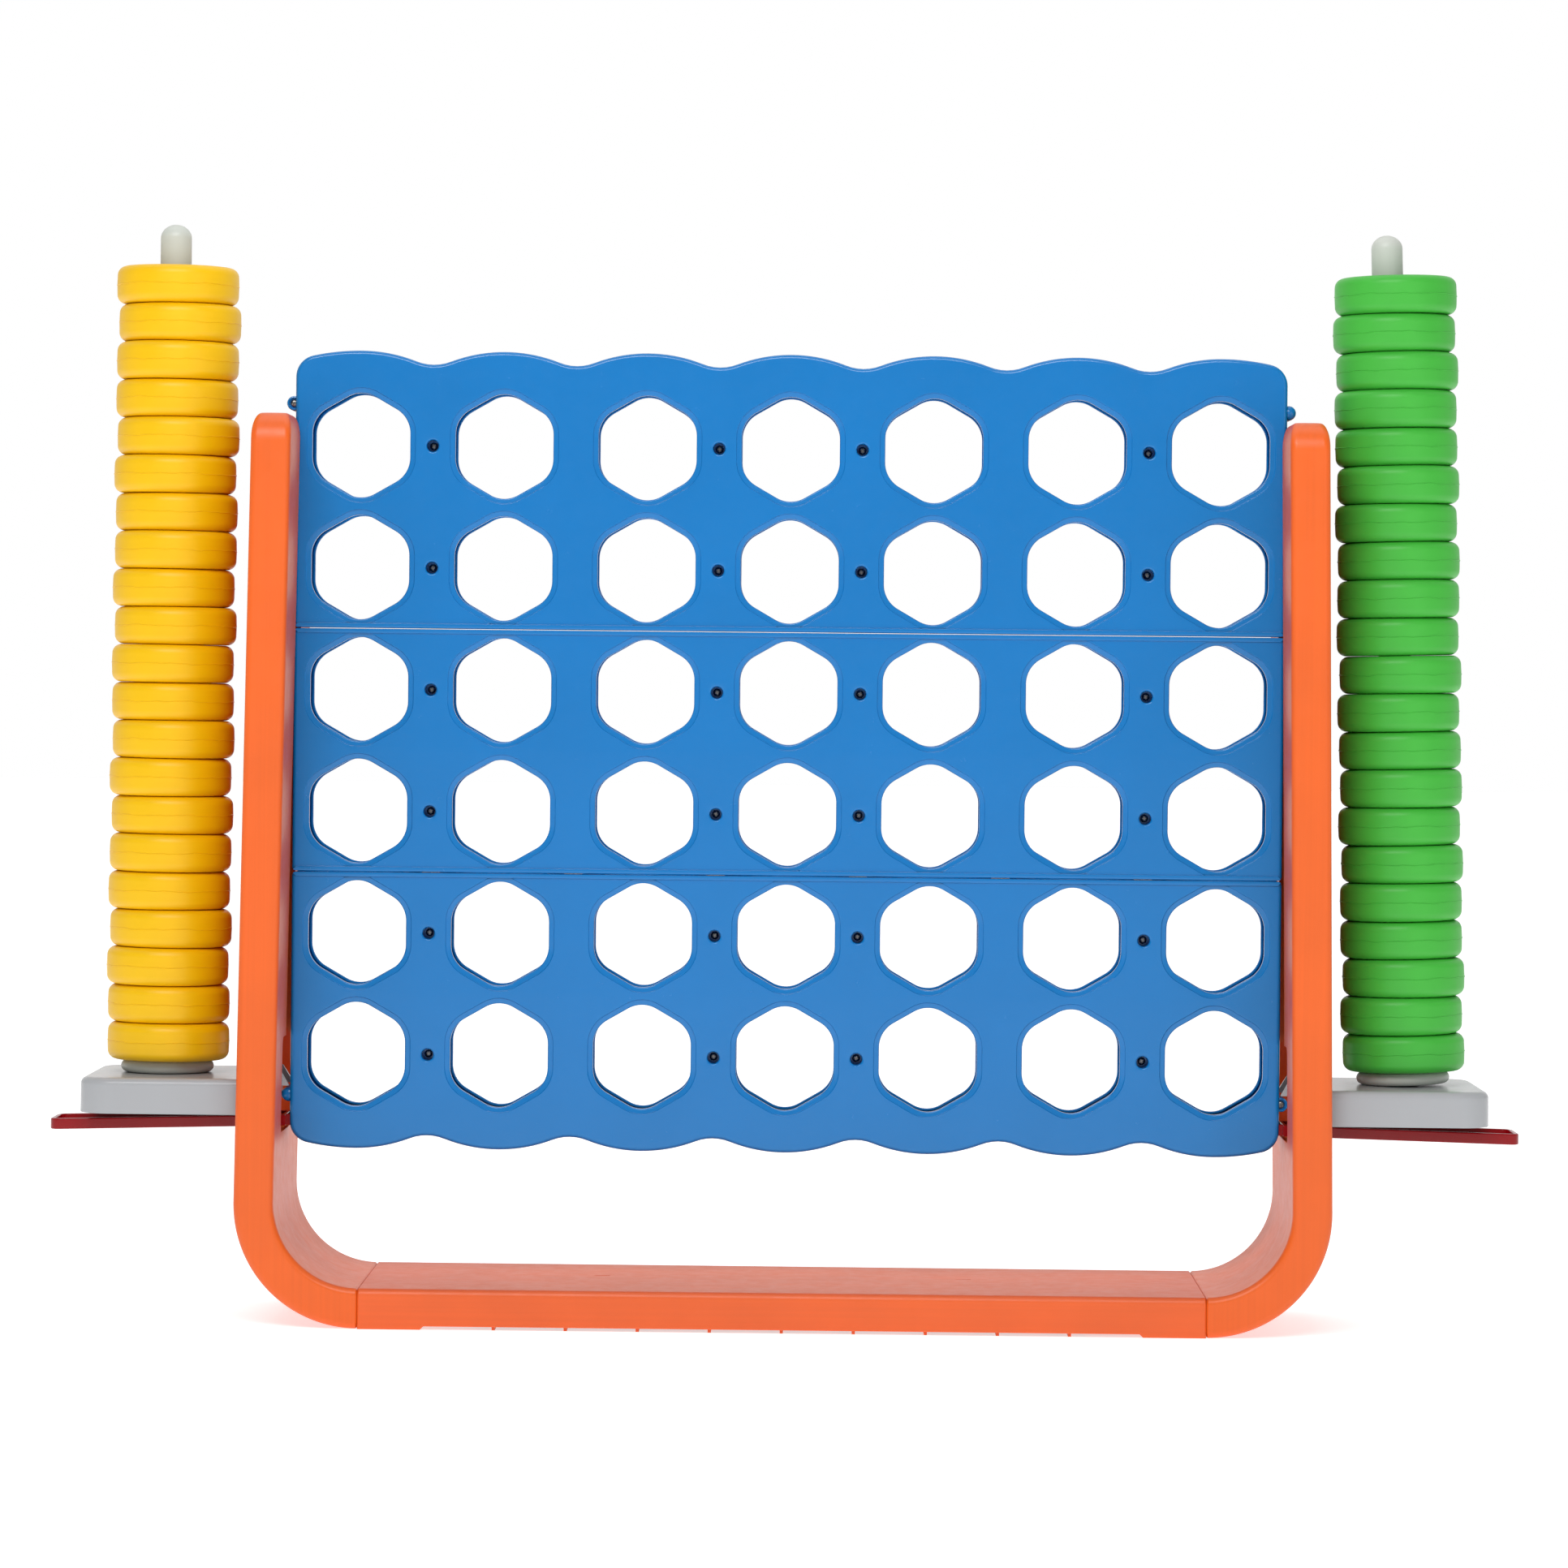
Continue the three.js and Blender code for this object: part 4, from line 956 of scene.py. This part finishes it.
def build_sliders():
    low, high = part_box("right_slider")
    top = high[2]
    bottom = top - SLIDER_HEIGHT
    rail = SLIDER_RAIL
    bar_y = SLIDER_HALF_WIDTH
    handle_y = high[1]
    start_x = HANDLE_START_X
    end_x = high[0]
    droop = HANDLE_DROOP
    bm = bmesh.new()
    rail_in = bar_y - rail
    inner_x = low[0]
    for side in (-1, 1):
        y0, y1 = sorted((side * rail_in, side * bar_y))
        block(bm, inner_x, start_x + SLIDER_HEIGHT, y0, y1, bottom, top)
    edges = [inner_x]
    for i in range(SLIDER_WINDOWS):
        centre = COLUMN_PITCH * (i + 0.5)
        edges += [centre - SLIDER_WINDOW_LENGTH / 2, centre + SLIDER_WINDOW_LENGTH / 2]
    edges.append(start_x + SLIDER_HEIGHT)
    for x0, x1 in zip(edges[0::2], edges[1::2]):
        block(bm, x0, x1, -rail_in, rail_in, bottom, bottom + SLIDER_WEB)
    bar = plain_object("right_slider_bar", bm)
    round_edges(bar)

    def outline(inset):
        r = HANDLE_CORNER_RADIUS - inset
        x = end_x - HANDLE_CORNER_RADIUS
        y = handle_y - HANDLE_CORNER_RADIUS
        points = [(start_x + inset, -handle_y + inset)]
        points += [(x0, -handle_y + inset) for x0 in (start_x + 60 * MM, start_x + 150 * MM)]
        points += arc(x, -y, r, -90, 0, 10) + [(end_x - inset, 0)] + arc(x, y, r, 0, 90, 10)
        points += [(x0, handle_y - inset) for x0 in (start_x + 150 * MM, start_x + 60 * MM)]
        return points + [(start_x + inset, handle_y - inset)]

    def ring(inset, z):
        return [(x, y, z - droop * (x - start_x)) for x, y in outline(inset)]

    web = bottom + SLIDER_WEB
    inner_round = 1.2 * MM
    rounding = 1.6 * MM
    skin = [ring(2.6 * MM, bottom), ring(0.8 * MM, bottom), ring(0.2 * MM, bottom + 0.5 * MM)]
    skin += [ring(0, bottom + 1.2 * MM), ring(0, top - rounding)]
    skin += [ring(rounding - x, top - rounding + y) for x, y in arc(0, 0, rounding, 0, 90, 5)]
    inner_arc = reversed(arc(0, 0, inner_round, 0, 90, 4))
    skin += [ring(rail - inner_round + x, top - inner_round + y) for x, y in inner_arc]
    skin += [ring(rail + 0.4 * MM, web + 1 * MM), ring(rail + 1.2 * MM, web)]
    bm = bmesh.new()
    loops = loft(bm, skin)
    hole_end = end_x - rail - inner_round
    hole_start = hole_end - FINGER_HOLE_LENGTH
    hole_y = handle_y - rail - inner_round

    def hole_ring(grow, z):
        r = 5 * MM
        x0 = hole_start - grow
        x1 = hole_end - 0.2 * MM
        y = hole_y - 0.2 * MM
        points = [(x0, -y), (x1 - r, -y)] + arc(x1 - r, -y + r, r, -90, 0, 6)[1:]
        points += arc(x1 - r, y - r, r, 0, 90, 6) + [(x0, y)]
        points.reverse()
        return [(x, yy, z - droop * (x - start_x)) for x, yy in points]

    hole = loft(bm, [hole_ring(1.2 * MM, web), hole_ring(0.3 * MM, web - 0.4 * MM),
                     hole_ring(0, web - 1.2 * MM), hole_ring(0, bottom)])
    fill_flat(bm, [loops[-1], hole[0]])
    fill_flat(bm, [loops[0], hole[-1]])
    handle = plain_object("right_slider_handle", bm)
    for obj in (bar, handle):
        left = turned_copy(obj, obj.name.replace("right", "left"), HALF_TURN_Z)
        if obj is bar:
            round_edges(left)
        nodes = ("left_slider",) if obj is handle else ()
        dress(left, slider_red, "left_slider", "slider_plastic", *nodes)
        nodes = ("right_slider",) if obj is handle else ()
        dress(obj, slider_red, "right_slider", "slider_plastic", *nodes)


# ---- trays, posts and rings ----------------------------------------------------------

def build_trays():
    start_x = LEG_FOOT_X + 0.3 * MM
    end_x = tray_high[0]
    half = tray_high[1]
    corner = TRAY_CORNER_RADIUS

    def outline(inset):
        r = corner - inset
        x = end_x - corner
        y = half - corner
        points = [(start_x, -half + inset), (start_x + 60 * MM, -half + inset)]
        points += arc(x, -y, r, -90, 0, 14) + arc(x, y, r, 0, 90, 14)
        return points + [(start_x + 60 * MM, half - inset), (start_x, half - inset)]

    def ring(inset, z):
        return [(x, y, z) for x, y in outline(inset)]

    top = TRAY_TOP
    bottom = TRAY_BOTTOM
    draft = 0.3 * MM
    edge = 8 * MM
    skin = [ring(3.6 * MM, top - 4 * MM), ring(3.4 * MM, bottom + 1 * MM), ring(3 * MM, bottom),
            ring(0.8 * MM, bottom), ring(0.2 * MM, bottom + 0.6 * MM), ring(0, bottom + 1.5 * MM)]
    skin.append(ring(draft, top - edge))
    skin += [ring(draft + edge - x, top - edge + y) for x, y in arc(0, 0, edge, 0, 90, 8)[1:]]
    bm = bmesh.new()
    loops = loft(bm, skin)
    steps = 48

    def circle(radius, z):
        return [(POST_X + radius * math.cos(2 * math.pi * i / steps),
                 -radius * math.sin(2 * math.pi * i / steps), z) for i in range(steps)]

    cup = loft(bm, [circle(21 * MM, top), circle(20.2 * MM, top - 0.8 * MM), circle(20 * MM, CUP_FLOOR_Z),
                    circle(2 * MM, CUP_FLOOR_Z)], True, False, True)
    outer_cup = loft(bm, [circle(33 * MM, top - 4 * MM), circle(33 * MM, CUP_FLOOR_Z),
                          circle(31 * MM, 228 * MM), circle(24 * MM, 226.8 * MM),
                          circle(8 * MM, 226.5 * MM)], True, False, True)
    fill_flat(bm, [loops[-1], cup[0]])
    fill_flat(bm, [loops[0], outer_cup[0]])
    for y0 in (-HOOK_OUTER_Y, HOOK_OUTER_Y - HOOK_THICKNESS):
        x = BOARD_HALF_WIDTH + 1.5 * MM
        hook = [(x, 255.8 * MM), (x, 257 * MM), (560 * MM, 275.5 * MM), (566 * MM, 275.5 * MM),
                (LEG_FOOT_X - 3 * MM, top - 2 * MM), (LEG_FOOT_X + 40 * MM, top - 2 * MM),
                (LEG_FOOT_X + 40 * MM, bottom + 2 * MM), (568 * MM, bottom + 2 * MM), (560.5 * MM, 240 * MM),
                (560.5 * MM, 255.8 * MM)]
        prism(bm, hook, y0, y0 + HOOK_THICKNESS)
    tray = plain_object("right_tray", bm)
    left = turned_copy(tray, "left_tray", HALF_TURN_Z)
    dress(tray, tray_grey, "root", "tray_plastic", "right_ring_tray")
    dress(left, tray_grey, "root", "tray_plastic", "left_ring_tray")


def build_posts():
    for name, side in (("left", -1), ("right", 1)):
        low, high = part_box(f"{name}_post")
        lean = math.radians(-side * POST_LEANS[name])
        height = POST_HEIGHT
        foot_z = high[2] - height * math.cos(lean)
        flange = FLANGE_HEIGHT
        bead = flange / 2
        profile = [(0, -33), (15.5, -33), (16.5, -32), (16.5, 0.2)]
        profile = [(a * MM, b * MM) for a, b in profile]
        profile += [(FLANGE_RADIUS - bead + x, bead + y) for x, y in arc(0, 0, bead, -90, 90, 16)]
        profile += [(24 * MM, flange), (20.6 * MM, flange + 0.5 * MM), (18.8 * MM, flange + 2.2 * MM),
                    (18.4 * MM, flange + 5 * MM)]
        tip = POST_TIP_RADIUS
        shoulder = height - POST_TIP_HEIGHT
        profile.append((tip, shoulder))
        profile += [(tip * x, shoulder + POST_TIP_HEIGHT * y) for x, y in arc(0, 0, 1, 0, 90, 9)[1:]]
        bm = bmesh.new()
        place = Matrix.Translation((side * POST_X, 0, foot_z)) @ Matrix.Rotation(lean, 4, "Y")
        revolve(bm, profile, 56, lambda a, b, h: place @ Vector((a, b, h)))
        post = plain_object(f"{name}_post_turned", bm)
        dress(post, post_grey, "root", "post_plastic", f"{name}_post")


def ring_mesh():
    """One playing ring about its own centre, with a faint wavy parting line."""
    outer = RING_OUTER_RADIUS
    hole = RING_HOLE_RADIUS
    half = RING_THICKNESS / 2
    r = RING_CORNER_RADIUS
    small = 5 * MM
    profile = [(outer - r + x, -half + r + y) for x, y in arc(0, 0, r, -90, 0, 8)]
    parting = len(profile)
    step = outer + 0.25 * MM
    crest = outer + 0.75 * MM
    profile += [(step, -2.2 * MM), (step, -0.45 * MM), (crest, -0.12 * MM)]
    profile += [(crest, 0.12 * MM), (step, 0.45 * MM), (step, 2.2 * MM)]
    after = len(profile)
    profile += [(outer - r + x, half - r + y) for x, y in arc(0, 0, r, 0, 90, 8)]
    profile += [(hole + small - x, half - small + y) for x, y in reversed(arc(0, 0, small, 0, 90, 4))]
    profile += [(hole + small - x, -half + small - y) for x, y in arc(0, 0, small, 0, 90, 4)]
    bm = bmesh.new()
    steps = 112
    rows = []
    for index, (radius, height) in enumerate(profile):
        row = []
        for i in range(steps):
            angle = 2 * math.pi * i / steps
            rise = 0
            if parting <= index < after:
                rise = (0.5 * math.sin(5 * angle) + 0.35 * math.sin(11 * angle + 1) +
                        0.25 * math.sin(23 * angle + 2)) * MM
            row.append(bm.verts.new((radius * math.cos(angle), radius * math.sin(angle), height + rise)))
        rows.append(row)
    for a, b in zip(rows, rows[1:] + rows[:1]):
        strip(bm, a, b)
    bmesh.ops.recalc_face_normals(bm, faces=bm.faces)
    mesh = bpy.data.meshes.new("ring")
    bm.to_mesh(mesh)
    bm.free()
    return mesh


def build_rings():
    mesh = ring_mesh()
    slides = {joint["child"]: joint for joint in frame["joints"]}
    for color, material, slot in (("yellow", ring_yellow, "yellow_ring_plastic"),
                                  ("green", ring_green, "green_ring_plastic")):
        for i in range(1, RINGS_PER_STACK + 1):
            node = f"{color}_ring_{i:02d}"
            low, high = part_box(node)
            centre = (Vector(low) + Vector(high)) / 2
            axis = Vector(slides[node]["axis"])
            turn = Vector((0, 0, 1)).rotation_difference(axis).to_matrix().to_4x4()
            own = mesh.copy()
            own.transform(Matrix.Rotation(2.1 * i, 4, "Z"))
            ring = bpy.data.objects.new(f"{color}_ring_{i:02d}_body", own)
            bpy.context.collection.objects.link(ring)
            ring.matrix_world = Matrix.Translation(centre) @ turn
            dress(ring, material, node, slot, node)


# ---- studio --------------------------------------------------------------------------

def build_camera():
    data = bpy.data.cameras.new("camera")
    data.sensor_width = 36
    data.lens = 130.4
    data.clip_end = 100
    camera = bpy.data.objects.new("camera", data)
    bpy.context.collection.objects.link(camera)
    yaw = Matrix.Rotation(math.radians(0.401), 4, "Z")
    pitch = Matrix.Rotation(math.radians(90 - 1.113), 4, "X")
    roll = Matrix.Rotation(math.radians(0.59), 4, "Z")
    camera.matrix_world = Matrix.Translation((0.040, -6.30, 0.717)) @ yaw @ pitch @ roll
    bpy.context.scene.camera = camera


def area_light(name, size_x, size_y, power, location):
    data = bpy.data.lights.new(name, "AREA")
    data.shape = "RECTANGLE"
    data.size = size_x
    data.size_y = size_y
    data.energy = power
    light = bpy.data.objects.new(name, data)
    bpy.context.collection.objects.link(light)
    direction = LIGHT_TARGET - Vector(location)
    light.location = location
    light.rotation_euler = direction.to_track_quat("-Z", "Y").to_euler()


def build_world():
    """White surroundings, dimmer to the sides and in front than behind."""
    world = bpy.data.worlds.new("studio")
    bpy.context.scene.world = world
    world.use_nodes = True
    nodes = world.node_tree.nodes
    links = world.node_tree.links
    background = nodes["Background"]
    background.inputs["Color"].default_value = (1, 1, 1, 1)
    split = nodes.new("ShaderNodeSeparateXYZ")
    links.new(nodes.new("ShaderNodeTexCoord").outputs["Generated"], split.inputs["Vector"])
    sideways = nodes.new("ShaderNodeMath")
    sideways.operation = "ABSOLUTE"
    links.new(split.outputs["X"], sideways.inputs[0])
    product = nodes.new("ShaderNodeMath")
    product.operation = "MULTIPLY"
    to_sides = map_range(nodes, links, sideways.outputs["Value"], (0.3, 1), (1, 0.4))
    to_back = map_range(nodes, links, split.outputs["Y"], (-0.5, 0.4), (0.3, 1))
    links.new(to_sides, product.inputs[0])
    links.new(to_back, product.inputs[1])
    links.new(product.outputs["Value"], background.inputs["Strength"])


def build_floor():
    material = bpy.data.materials.new("studio_floor")
    material.use_nodes = True
    shader = material.node_tree.nodes["Principled BSDF"]
    shader.inputs["Base Color"].default_value = (0.85, 0.85, 0.85, 1)
    shader.inputs["Emission Color"].default_value = (1, 1, 1, 1)
    shader.inputs["Emission Strength"].default_value = 0.6
    shader.inputs["Roughness"].default_value = 0.9
    bm = bmesh.new()
    block(bm, -30, 30, -30, 30, -0.05, 0)
    floor = plain_object("studio_floor", bm)
    floor.data.materials.append(material)


LIGHT_TARGET = Vector((0, 0, 0.6))


def build_studio():
    build_world()
    build_floor()
    area_light("key", 3, 1.6, 122, (-0.6, -3.6, 3.6))
    area_light("fill", 1.2, 2.4, 14, (3.2, -4.2, 1.8))
    area_light("top", 4, 1.6, 20, (0, 0.3, 4.0))
    bpy.context.scene.view_settings.view_transform = "Standard"


build_camera()
build_studio()
build_board()
build_screws()
build_legs()
build_base()
build_sliders()
build_trays()
build_posts()
build_rings()
